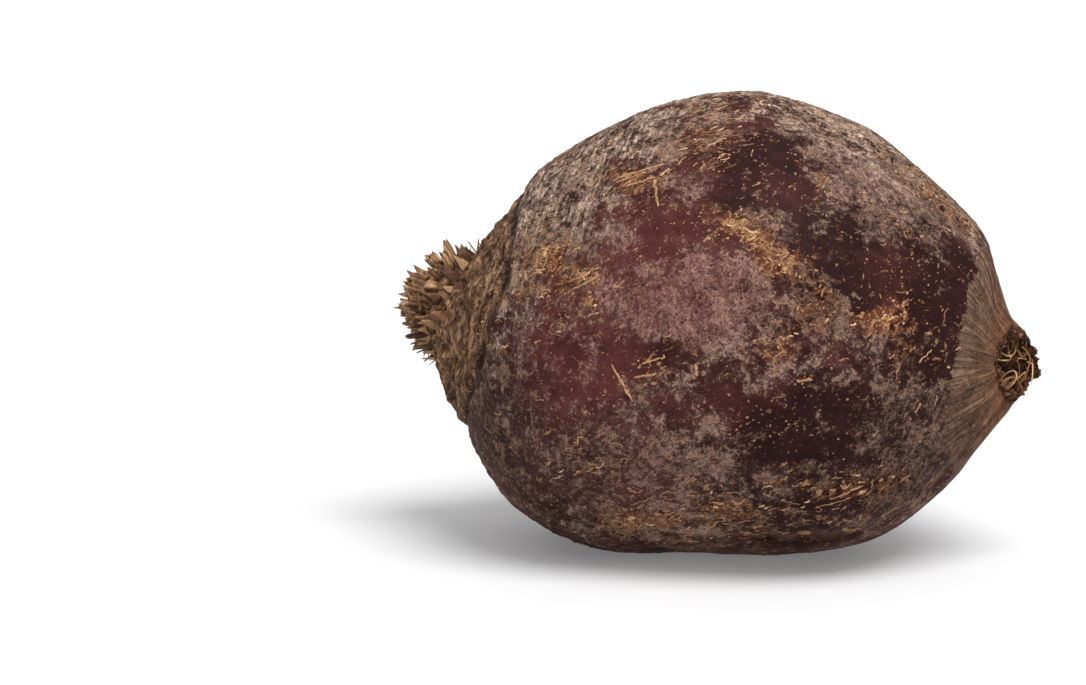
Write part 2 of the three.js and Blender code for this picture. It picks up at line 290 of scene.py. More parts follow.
@dataclass(frozen=True)
class RootForm:
    """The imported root's form in its axis's frame: x along, y to the far side and z off it."""

    dip: float = math.radians(5.2)
    crown_height: float = 50.4
    rest_along: float = 54.0
    lumpy: Fade = Fade((2, 6), (13, 15))
    collar: Fade = Fade((3, 4.2), (5.6, 6.6))
    cone: Fade = Fade((12.6, 14), (16.5, 17.5))
    torn: Fade = Fade((16, 17), (18, 19))
    groove_fall: tuple[float, float] = (14, 16)
    groove_reach: tuple[float, float, float] = (58, 84, 112)
    groove_depth: float = 0.9
    groove_spread: float = 2.4
    scar_every: float = 7.5
    scar_depth: float = 0.55
    ribs: int = 16
    waves: tuple[Wave, ...] = (
        Wave(0.11, 0.04, 0.05, 0.6, 0.34),
        Wave(-0.05, 0.15, 0.06, 2.1, 0.28),
        Wave(0.07, -0.08, 0.17, 4.0, 0.24),
        Wave(0.2, 0.09, -0.12, 1.2, 0.16),
        Wave(-0.16, 0.2, 0.14, 5.3, 0.12),
    )
    scar_rows: tuple[ScarRow, ...] = (ScarRow(14, -5), ScarRow(146, 6))
    tear_waves: tuple[tuple[int, float, float], ...] = ((3, 0.5, 0.54), (7, 2, 0.38), (12, 0, 0.27))

    def plain(self, station: Array, angle: Array) -> Array:
        """Returns points of the smooth form, with the angle going from the top to the near side.

        Args:
            station: Stations along the outline.
            angle: Angles round the axis.

        Returns:
            Points in the axis's frame.
        """
        knots = np.array([[*s.upper, *s.lower, s.half, s.lean] for s in STATIONS.values()], float)
        upper, high, lower, low, half, lean = np.moveaxis(through(knots, np.asarray(station) / SPANS), -1, 0)
        rise, side = np.cos(angle), np.sin(angle)
        along = (upper + lower) / 2 + (upper - lower) / 2 * rise - lean * side
        return np.stack([along, -half * side, (high + low) / 2 + (high - low) / 2 * rise], axis=-1)

    def along(self, station: Array | float, angle: Array | float) -> Array:
        """Returns the short way from just before each station to just after it."""
        return self.plain(station + PROBE, angle) - self.plain(station - PROBE, angle)

    def around(self, station: Array | float, angle: Array | float) -> Array:
        """Returns the short way from just before each angle to just after it."""
        return self.plain(station, angle + PROBE) - self.plain(station, angle - PROBE)

    def outward(self, station: Array, angle: Array) -> Array:
        """Returns the smooth form's normals, from two small steps across it.

        Args:
            station: Stations along the outline.
            angle: Angles round the axis.

        Returns:
            Unit vectors.
        """
        step, turn = 0.02, 0.01
        low = np.maximum(station - step, step / 2)
        high = np.minimum(station + step, SPANS - step / 2)
        along = self.plain(high, angle) - self.plain(low, angle)
        middle = (low + high) / 2
        return unit(np.cross(self.plain(middle, angle + turn) - self.plain(middle, angle - turn), along))

    def groove(self, station: Array, angle: Array, points: Array) -> Array:
        """Returns how far inside a scar row's groove each point lies, from 0 to 1.

        Args:
            station: Stations along the outline.
            angle: Angles round the axis.
            points: The same places on the smooth form.

        Returns:
            The share at each place.
        """
        start, full, end = self.groove_reach
        weight = smooth_step(points[..., 0], start, full) * (1 - smooth_step(station, *self.groove_fall))
        total = np.zeros(weight.shape)
        for row in self.scar_rows:
            share = (points[..., 0] - start) / (end - start)
            across = wrapped(angle - np.radians(row.angle + row.twist * share))
            total += bell(across * np.hypot(points[..., 1], points[..., 2]), self.groove_spread)
        return weight * total

    def relief(self, station: Array, angle: Array, points: Array) -> Array:
        """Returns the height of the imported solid's lumps, ribs, crease and grooves.

        Args:
            station: Stations along the outline.
            angle: Angles round the axis.
            points: The same places on the smooth form.

        Returns:
            Heights in millimetres.
        """
        height = sum(w.height * np.sin(points @ np.array(w[:3]) + w.phase) for w in self.waves)
        height = height * self.lumpy.at(station)
        height += 0.5 * self.collar.at(station) * np.sin(self.ribs * angle + station)
        height += 0.2 * self.cone.at(station) * np.sin(self.ribs * angle)
        crease = 0.6 * (0.6 + 0.4 * np.sin(2 * angle + 1))
        height -= crease * bell(station - 6.15 - 0.2 * np.sin(3 * angle), 0.2)
        scars = self.scar_depth * np.cos(2 * np.pi * points[..., 0] / self.scar_every)
        return height - self.groove(station, angle, points) * (self.groove_depth + scars)

    def tear(self, station: Array, angle: Array) -> Array:
        """Returns how far the snapped rim reaches along the axis."""
        waves = sum(height * np.sin(count * angle + phase) for count, phase, height in self.tear_waves)
        return self.torn.at(station) * waves

    def settle(self, points: Array) -> Array:
        """Returns points of the axis's frame in the part's own frame."""
        shift = np.array([-self.rest_along, 0, self.crown_height])
        return self.turn(points) + shift

    def turn(self, vectors: Array) -> Array:
        """Returns directions of the axis's frame in the part's own frame."""
        cos, sin = math.cos(self.dip), math.sin(self.dip)
        return vectors @ np.array([[cos, 0, -sin], [0, 1, 0], [sin, 0, cos]])

    def crown_axes(self) -> tuple[Array, Array, Array]:
        """Returns the crown's upward edge direction, its side and the way it points, in the axis's frame."""
        edge = unit(self.plain(2, 0) - self.plain(2, math.pi))
        return edge, np.array([0.0, 1.0, 0.0]), np.array([-edge[2], 0.0, edge[0]])


# Where each layer of the skin shows


class Patch(NamedTuple):
    """An oval on the skin: station, angle in degrees, half sizes along and around, and how much it adds."""

    station: float
    angle: float
    along: float
    around: float
    weight: float


SCURF_PATCHES = {
    "fore shoulder, upper": Patch(7.85, 24, 17, 15, 0.20),
    "fore shoulder, side": Patch(8.4, 66, 14, 13, 0.13),
    "mauve band": Patch(9.97, 75, 15, 6.6, 0.42),
    "hind flank": Patch(11.5, 11, 18, 15, 0.34),
    "hind flank, lower": Patch(12.0, 34, 16, 8.0, 0.34),
    "hind side": Patch(12.8, 115, 12.5, 13, 0.15),
    "keel": Patch(10.1, 141, 31, 10, 0.04),
    "fore keel band": Patch(9.5, 141, 12, 8, 0.16),
    "fore keel": Patch(9.16, 118, 13, 11.5, 0.05),
    "small island": Patch(10.62, 49.5, 3.2, 4.4, 0.40),
    "smaller island": Patch(11.28, 51, 3.0, 2.0, 0.44),
    "under the flecks": Patch(9.86, 48, 3.6, 3.0, 0.28),
    "middle": Patch(9.97, 114, 9.5, 5.8, 0.12),
    "mottled middle": Patch(10.5, 91.5, 6.5, 5.2, 0.12),
    "mottled hind": Patch(11.28, 72, 5.0, 6.4, 0.34),
    "top": Patch(9.4, 24, 8.6, 10, 0.08),
    "ridge": Patch(9.6, -6, 24, 13, 0.26),
    "far shoulder": Patch(8.2, -40, 16, 14, 0.16),
    "far hind flank": Patch(12.0, -80, 15, 16, 0.18),
}
BARE_PATCHES = {
    "maroon window": Patch(9.58, 57, 9, 8.5, -0.24),
    "upper middle": Patch(10.40, 37.5, 9, 12, -0.34),
    "middle of the hind": Patch(11.85, 65, 5.0, 6.0, -0.42),
    "hind window": Patch(11.23, 50, 8, 12, -0.27),
    "under the flank": Patch(12.45, 66, 12, 6.5, -0.30),
    "behind the flank": Patch(12.6, 53, 8.5, 9, -0.36),
    "by the scar row": Patch(12.95, 31, 4.5, 4.0, -0.40),
    "beside the cone": Patch(13.25, 68, 4.6, 12, -0.42),
    "lower window": Patch(11.3, 104, 10, 9, -0.24),
    "scratched window": Patch(9.68, 90, 11, 6, -0.22),
    "lower middle": Patch(10.5, 101, 6, 6, -0.20),
    "hind keel": Patch(11.4, 127, 9, 5, -0.22),
    # Bare underside along the keel; it also darkens the bottom edge, partly as painted shade.
    "under the hind keel": Patch(11.2, 151, 13, 6, -0.36),
    "fore side": Patch(8.6, 92, 9, 6, -0.10),
    "far window": Patch(9.8, -72, 13, 11, -0.24),
    "far keel": Patch(10.8, -125, 14, 10, -0.24),
}
CORK_PATCHES = {
    "behind the collar": Patch(7.75, 58, 5.5, 12, 0.44),
    "long streak": Patch(9.0, 42.5, 8.0, 3.2, 0.62),
    "dotted": Patch(10.07, 54.5, 4.6, 5.4, 0.30),
    "lace": Patch(10.48, 57, 5.2, 4.0, 0.85),
    "lower lace": Patch(10.88, 63.5, 5.8, 4.6, 0.95),
    "lace's tail": Patch(11.25, 73, 5.4, 5.8, 0.42),
    "small lace": Patch(10.88, 82.5, 4.2, 2.8, 0.62),
    "brown lace": Patch(12.14, 74, 7.6, 4.6, 0.85),
    "thin lace": Patch(12.62, 83, 4.0, 3.0, 0.5),
    "tan stroke": Patch(11.25, 91.5, 2.4, 1.1, 0.6),
    "keel streak": Patch(10.45, 132, 7.5, 4.2, 0.62),
    "keel band": Patch(9.9, 146, 18.5, 8.5, 0.40),
    "fore keel band": Patch(9.75, 138, 7.0, 5.0, 0.5),
    "fore side": Patch(8.4, 70, 10, 7, 0.34),
    "hind speckle": Patch(11.1, 37.5, 1.6, 5.6, 0.55),
    "top flecks": Patch(9.76, 30, 7.0, 8.0, 0.22),
    "higher flecks": Patch(9.9, 12, 9.0, 7.0, 0.22),
    "small mark by the collar": Patch(8.17, 66, 1.8, 2.8, 0.7),
    "small mark over the band": Patch(8.80, 70, 3.4, 2.2, 0.5),
    "small mark in the band": Patch(9.0, 75.5, 2.8, 1.4, 0.7),
    "streak's foot": Patch(8.53, 42.2, 1.4, 1.8, 0.8),
    "streak's dot": Patch(9.36, 49, 1.2, 1.7, 0.8),
    "streak's head": Patch(9.50, 42.6, 1.3, 1.7, 0.8),
    "scar row": Patch(12.36, 3, 14, 6.0, 0.60),
    "scratches": Patch(9.6, 96.5, 7, 6.5, 0.34),
    "hind keel": Patch(12.1, 124, 10, 4.0, 0.36),
    "under the cone": Patch(14.6, 131, 6, 4.5, 0.60),
    "far shoulder": Patch(8.6, -60, 11, 7, 0.50),
    "far side": Patch(10.6, -98, 9, 6, 0.70),
    "far flank": Patch(11.9, -52, 7, 5, 0.55),
    "far keel": Patch(10.2, -150, 16, 6, 0.55),
}
FLECK_PATCHES = {
    "top flecks": Patch(9.76, 30, 8.0, 10.0, 1.0),
    "higher flecks": Patch(9.7, 12, 9.0, 7.0, 0.7),
    "fore side": Patch(8.6, 74, 10, 9, 0.5),
    "keel": Patch(10.9, 132, 22, 10, 0.7),
    "fore keel": Patch(9.4, 120, 16, 10, 0.4),
    "far side": Patch(10.2, -70, 20, 16, 0.5),
}
MAUVE_PATCHES = {
    "middle band": Patch(9.9, 73, 17, 9, 0.9),
    "maroon window": Patch(9.5, 60, 14, 12, 0.7),
    "fore side": Patch(8.8, 84, 13, 15, 0.75),
    "fore keel": Patch(9.2, 118, 16, 15, 0.6),
    "far side": Patch(9.8, -85, 18, 16, 0.8),
}
# Painted shade: patches where the skin is darkened, most of them on the underside and towards the hind end.
PAINTED_SHADE_PATCHES = {
    "hind side": Patch(12.4, 108, 20, 17, 0.85),
    "hind keel": Patch(11.4, 136, 22, 16, 1.0),
    "fore keel": Patch(8.6, 122, 18, 17, 0.6),
    "beside the cone": Patch(12.9, 52, 10, 22, 1.0),
    "hind window": Patch(11.5, 58, 11, 16, 0.9),
    "upper middle": Patch(10.5, 38, 10, 12, 0.45),
    "lower window": Patch(11.3, 104, 11, 10, 0.6),
    "far side": Patch(12.2, -120, 22, 18, 0.7),
}
# Buff: a pale tan crust with plates; on the top and shoulders its light tint is also painted light.
BUFF_AND_PAINTED_LIGHT_PATCHES = {
    "fore shoulder": Patch(7.9, 25, 19, 24, 0.8),
    "collar's foot": Patch(7.3, 70, 9, 16, 0.5),
    "top": Patch(10.4, 2, 28, 14, 0.75),
    "scar row": Patch(12.6, 5, 12, 7, 0.7),
    "keel": Patch(9.7, 144, 18, 7, 0.6),
    "far shoulder": Patch(8.0, -50, 17, 22, 0.6),
}


class Pit(NamedTuple):
    """A side-root scar: place along the axis, angle in degrees, and half sizes along and around."""

    along: float
    angle: float
    length: float
    width: float


PITS = (
    Pit(76.0, 13.5, 0.8, 0.6),
    Pit(86.8, 8.5, 0.6, 1.5),
    Pit(94.9, 6.5, 1.0, 0.45),
    Pit(96.4, 4.6, 0.7, 0.4),
    Pit(99.4, 5.5, 0.8, 0.9),
    Pit(100.9, 7.5, 0.9, 0.4),
    Pit(104.6, 10.5, 1.0, 0.5),
    Pit(108.3, 17.0, 0.9, 0.5),
    Pit(82.5, 149.0, 1.1, 0.7),
    Pit(91.0, 150.5, 1.4, 0.8),
    Pit(97.8, 151.0, 1.2, 0.7),
    Pit(103.9, 150.0, 1.1, 0.9),
    Pit(107.4, -24.0, 1.1, 0.9),
)
DENTS = (Pit(86.2, 1.0, 1.3, 5.5), Pit(103.0, 8.0, 2.2, 2.0), Pit(93.6, 160.0, 1.6, 3.0))
WARTS = (
    Pit(101.8, 148.0, 1.3, 1.0),
    Pit(105.6, 152.0, 1.0, 0.8),
    Pit(110.6, 131.0, 1.2, 0.9),
    Pit(112.0, 138.0, 0.9, 0.8),
    Pit(89.2, 12.0, 1.6, 0.8),
    Pit(97.2, 9.0, 1.2, 0.7),
    Pit(106.2, 15.0, 1.4, 0.7),
    Pit(84.4, 5.0, 1.8, 0.8),
    Pit(92.6, -2.0, 1.7, 0.7),
    Pit(101.5, 1.5, 1.0, 0.8),
)


@dataclass
class SkinSample:
    """Points of the finished skin in the part's frame, with the weights that the finish reads."""

    points: Array
    outward: Array
    marks: dict[str, Array]


@dataclass(frozen=True)
class SkinSurface:
    """The finished skin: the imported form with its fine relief, and where scurf, cork and bare patches lie."""

    form: RootForm = RootForm()
    sink: float = 0.16
    broad: SmoothNoise = SmoothNoise(11)
    middle: SmoothNoise = SmoothNoise(23)
    fine: SmoothNoise = SmoothNoise(37)
    collar: Fade = Fade((0.6, 1.3))
    shoulder: Fade = Fade((6.0, 7.0), (8.4, 10.4))
    cone: Fade = Fade((13.1, 13.9), (16.4, 17.0))
    warm: Fade = Fade((13.8, 15.6))
    stub: Fade = Fade((15.7, 16.8))
    hollow: Fade = Fade((17.6, 18.5))
    streak_radius: float = 24.0
    slant: float = 0.42
    furrow: tuple[float, float, float, float] = (6.3, 1.2, math.radians(75), math.radians(45))

    def warped(self, points: Array) -> Array:
        """Returns places pushed about, so that the patches read there get ragged, drawn-out borders.

        Args:
            points: Places near the smooth form.

        Returns:
            The moved places.
        """
        shifts = (0.0, 47.0, 91.0)
        wide = np.stack([self.broad.at(points + shift, 10.0) for shift in shifts], axis=-1)
        near = np.stack([self.fine.at(points + shift, 3.4, 2) for shift in shifts], axis=-1)
        return points + 3.4 * wide + 1.5 * near

    def patches(self, chosen: dict[str, Patch], points: Array) -> Array:
        """Adds up ovals on the skin.

        Args:
            chosen: The ovals.
            points: Places near the smooth form.

        Returns:
            The sum of the ovals' weights at each place.
        """
        total = np.zeros(points.shape[:-1])
        for patch in chosen.values():
            angle = math.radians(patch.angle)
            centre = self.form.plain(patch.station, angle)
            out = self.form.outward(np.float64(patch.station), np.float64(angle))
            along = unit(self.form.along(patch.station, angle))
            offset = points - centre
            shape = np.hypot(offset @ along / patch.along, offset @ np.cross(out, along) / patch.around)
            near = smooth_step(offset @ out, -2.2 * max(patch.along, patch.around), -4)
            total += patch.weight * near * (1 - smooth_step(shape, 0.5, 1.35))
        return total

    def spots(self, chosen: tuple[Pit, ...], angle: Array, points: Array) -> Array:
        """Returns how far inside the named pits or warts each place lies, from 0 to 1.

        Args:
            chosen: The pits or warts.
            angle: Angles round the axis.
            points: The same places on the smooth form.

        Returns:
            The share at each place.
        """
        total = np.zeros(points.shape[:-1])
        for pit in chosen:
            around = wrapped(angle - math.radians(pit.angle)) * np.hypot(points[..., 1], points[..., 2])
            total += bell(np.hypot((points[..., 0] - pit.along) / pit.length, around / pit.width), 1.0)
        return np.clip(total, 0, 1)

    def past_furrow(self, station: Array, angle: Array, points: Array) -> Array:
        """Returns how many stations past the furrow behind the collar each place lies.

        Args:
            station: Stations along the outline.
            angle: Angles round the axis.
            points: The same places on the smooth form.

        Returns:
            The distance, below 0 on the collar's side.
        """
        start, swing, middle, width = self.furrow
        wander = 0.25 * self.middle.at(points, 9.0, 2)
        return station - start - swing * bell(wrapped(angle - middle), width) - wander

    def coiled(self, angle: Array, points: Array, slant: float) -> Array:
        """Returns places on a drum that the skin is unrolled from, with lines that run slantwise along it.

        Args:
            angle: Angles round the axis.
            points: The same places on the smooth form.
            slant: How much the lines wind, 0 for straight ones.

        Returns:
            Places on the drum.
        """
        turn = angle + slant * points[..., 0] / self.streak_radius
        round_about = np.stack([np.cos(turn), np.sin(turn)], axis=-1) * self.streak_radius
        return np.concatenate([round_about, points[..., :1]], axis=-1)

    def marks(self, station: Array, angle: Array, points: Array) -> dict[str, Array]:
        """Returns the weight of each layer of the skin, by name, at places of the smooth form.

        Args:
            station: Stations along the outline.
            angle: Angles round the axis.
            points: The same places on the smooth form.

        Returns:
            The weights, and two drums' places under flow and slant.
        """
        row = self.form.groove(station, angle, points)
        past = self.past_furrow(station, angle, points)
        collar = self.collar.at(station) * (1 - smooth_step(past, -0.9, 0.8))
        ragged = self.warped(points)
        scurf = 0.45 + 0.08 * self.broad.at(points, 17, 3)
        scurf += self.patches(SCURF_PATCHES, ragged) + self.patches(BARE_PATCHES, ragged)
        scurf += 0.14 * bell(station - 6.6, 1.2) + 0.12 * row
        cork = 0.10 + 0.16 * self.middle.at(points, 10, 2) + self.patches(CORK_PATCHES, ragged)
        cork += 0.30 * collar
        return {
            "scurf": scurf,
            "cork": np.clip(cork, 0, 1.2),
            "mauve": np.clip(self.patches(MAUVE_PATCHES, ragged), 0, 1),
            # painted shade, mostly on the underside and towards the hind end
            "dusk": np.clip(self.patches(PAINTED_SHADE_PATCHES, ragged), 0, 1),
            # buff crust, partly painted light on the top and shoulders
            "buff": np.clip(self.patches(BUFF_AND_PAINTED_LIGHT_PATCHES, ragged), 0, 1),
            "fleck": np.clip(self.patches(FLECK_PATCHES, points), 0, 1),
            "collar": collar,
            "shoulder": self.shoulder.at(station),
            "cone": self.cone.at(station),
            "warm": self.warm.at(station),
            "stub": self.stub.at(station),
            # painted shade, deepest in the torn mouth
            "hollow": self.hollow.at(station),
            "pit": self.spots(PITS, angle, points),
            "row": np.clip(row, 0, 1),
            "crease": bell(past, 0.17) * (0.75 + 0.25 * self.fine.at(points, 5.0)),
            "flow": self.coiled(angle, points, 0.0),
            "slant": self.coiled(angle, points, self.slant),
        }

    def fine_relief(self, station: Array, angle: Array, points: Array, marks: dict[str, Array]) -> Array:
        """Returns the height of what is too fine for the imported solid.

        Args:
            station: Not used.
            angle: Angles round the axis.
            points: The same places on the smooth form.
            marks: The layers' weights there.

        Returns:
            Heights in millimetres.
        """
        flow = marks["flow"]
        body = 1 - marks["stub"]
        height = body * (0.10 * self.middle.at(points, 7.5) + 0.05 * self.fine.at(points, 3.1))
        raised = smooth_step(marks["scurf"] + 0.16 * self.fine.at(points, 2.2, 2), 0.42, 0.54)
        height += 0.07 * raised * body
        hoops = self.fine.at(flow * np.array([0.16, 0.16, 1.0]) + 0.02 * points, 0.85, 2)
        height += marks["collar"] * (0.6 * np.abs(hoops) - 0.25 + 0.30 * self.middle.at(points, 2.4, 2))
        lines = self.fine.at(flow * np.array([1.0, 1.0, 0.10]), 1.9, 2)
        height += 0.13 * marks["cone"] * lines
        height -= 0.9 * marks["crease"] + 0.5 * self.spots(DENTS, angle, points)
        height += marks["row"] * 0.26 * self.fine.at(flow * np.array([1.0, 1.0, 0.25]), 1.8, 2)
        height += marks["stub"] * (0.45 * self.middle.at(points, 1.9, 2) + 0.22 * self.fine.at(points, 0.8))
        height += (0.7 + 0.6 * self.fine.at(points, 0.9)) * self.spots(WARTS, angle, points)
        crust = np.abs(self.fine.at(points + 60, 2.0, 2)) * np.clip(marks["shoulder"] + marks["buff"], 0, 1)
        height += 0.34 * (crust - 0.3) * body * (1 - marks["collar"])
        lip = np.clip(1.6 * marks["pit"], 0, 1) - np.clip(1.6 * marks["pit"] - 0.6, 0, 1)
        return height + 0.22 * lip - 0.8 * marks["pit"] ** 2

    def sample(self, station: Array, angle: Array) -> SkinSample:
        """Reads the finished skin.

        Args:
            station: Places from the crown centre, 0, to the floor of the torn mouth.
            angle: Angles round the axis, from the top to the near side.

        Returns:
            The skin there, none of it below the surface that the root lies on.
        """
        station, angle = np.broadcast_arrays(np.asarray(station, float), np.asarray(angle, float))
        plain = self.form.plain(station, angle)
        out = self.form.outward(station, angle)
        marks = self.marks(station, angle, plain)
        height = self.form.relief(station, angle, plain) + self.fine_relief(station, angle, plain, marks)
        points = plain + out * (height - self.sink)[..., None]
        rim = marks["flow"] * 0.3
        ragged = 0.55 * self.middle.at(rim, 0.9, 2) + 0.3 * self.fine.at(rim, 0.4)
        points[..., 0] += self.form.tear(station, angle) + self.form.torn.at(station) * (ragged - 0.25)
        settled = self.form.settle(points)
        settled[..., 2] = np.maximum(settled[..., 2], 0)
        return SkinSample(settled, self.form.turn(out), marks)


# Meshes


@dataclass
class MeshLot:
    """Points and faces gathered into one mesh, with what the finish reads at each point."""

    points: list[Array] = field(default_factory=list)
    faces: list[list[int]] = field(default_factory=list)
    spots: list[list[tuple[float, float]]] = field(default_factory=list)
    marks: dict[str, list[Array]] = field(default_factory=dict)
    count: int = 0

    def add(
        self,
        points: Array,
        faces: list[list[int]],
        marks: dict[str, Array] | None = None,
        spots: list[list[tuple[float, float]]] | None = None,
    ) -> None:
        """Adds one closed shape.

        Args:
            points: Its points, in millimetres in the part's frame.
            faces: Its faces, as places in its own points.
            marks: Numbers or vectors at each of its points, by name.
            spots: Places in the bake map for each corner of each face.
        """
        self.faces += [[index + self.count for index in face] for face in faces]
        self.points.append(points)
        self.count += len(points)
        for name, values in (marks or {}).items():
            self.marks.setdefault(name, []).append(values)
        self.spots += spots or []

    def piece(self, name: str, material: bpy.types.Material, slot: Slot, stands_for: str) -> bpy.types.Object:
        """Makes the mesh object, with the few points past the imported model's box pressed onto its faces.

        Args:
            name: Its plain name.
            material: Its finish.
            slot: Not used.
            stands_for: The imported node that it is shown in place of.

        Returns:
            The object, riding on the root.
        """
        low, high = (np.array(corner) for corner in CAD_BOX)
        points = np.clip(np.concatenate(self.points) / METRE, low, high)
        mesh = bpy.data.meshes.new(name)
        mesh.from_pydata(points.tolist(), [], self.faces)
        mesh.shade_smooth()
        for mark, parts in self.marks.items():
            values = np.concatenate(parts).astype(np.float32)
            kind, slotted = ("FLOAT_VECTOR", "vector") if values.ndim > 1 else ("FLOAT", "value")
            mesh.attributes.new(mark, kind, "POINT").data.foreach_set(slotted, values.ravel())
        if self.spots:
            corners = np.array([corner for face in self.spots for corner in face], np.float32)
            mesh.uv_layers.new(name=BAKE_MAP).data.foreach_set("uv", corners.ravel())
        mesh.materials.append(material)
        mesh.update()
        piece = bpy.data.objects.new(name, mesh)
        bpy.context.scene.collection.objects.link(piece)
        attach(piece, BODY)
        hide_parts(stands_for)
        log.info("%s: %d points, %d faces", name, len(mesh.vertices), len(mesh.polygons))
        return piece


def ring_faces(rings: int, sides: int) -> list[list[int]]:
    """Lists the faces of a closed shape made of a point, rings and a last point.

    Args:
        rings: How many rings it has.
        sides: Points in each ring.

    Returns:
        Triangles at both ends and four-sided faces between the rings.
    """
    last = 1 + rings * sides
    beside = [(side + 1) % sides for side in range(sides)]
    faces = [[0, 1 + beside[side], 1 + side] for side in range(sides)]
    for ring in range(rings - 1):
        here, beyond = 1 + ring * sides, 1 + (ring + 1) * sides
        faces += [[here + s, here + beside[s], beyond + beside[s], beyond + s] for s in range(sides)]
    return faces + [[last - sides + s, last - sides + beside[s], last] for s in range(sides)]


def tube(
    path: Array, wide: Array, thick: Array, across: Array, sides: int, channel: float = 0.0
) -> tuple[Array, Array]:
    """Lays rings along a path.

    Args:
        path: Points of the centre line, the first and the last closing the ends.
        wide: Half width of each ring between the ends.
        thick: Half thickness of each ring between the ends.
        across: The direction that the width follows.
        sides: Points in each ring.
        channel: How far the rings' wide ends bend up, as a share of the half width.

    Returns:
        The rings' points, by ring and side, and the direction of the path at each ring.
    """
    ahead = unit(path[2:] - path[:-2])
    broad = unit(across - (ahead @ across)[:, None] * ahead)
    deep = np.cross(ahead, broad)
    turn = 2 * np.pi * np.arange(sides) / sides
    spread = broad[:, None] * (wide[:, None] * np.cos(turn))[..., None]
    lift = thick[:, None] * np.sin(turn) + channel * wide[:, None] * (np.cos(turn) ** 2 - 0.5)
    spread = spread + deep[:, None] * lift[..., None]
    return path[1:-1, None] + spread, ahead


# Finishes


def linear(tint: Tint) -> tuple[float, float, float, float]:
    """Returns a screen colour, 0 to 255, as the linear colour that a shader needs."""
    shares = (channel / 255 for channel in tint)
    return (*(s / 12.92 if s <= 0.04045 else ((s + 0.055) / 1.055) ** 2.4 for s in shares), 1.0)


Socket = bpy.types.NodeSocket
Feed = float | tuple | bpy.types.NodeSocket


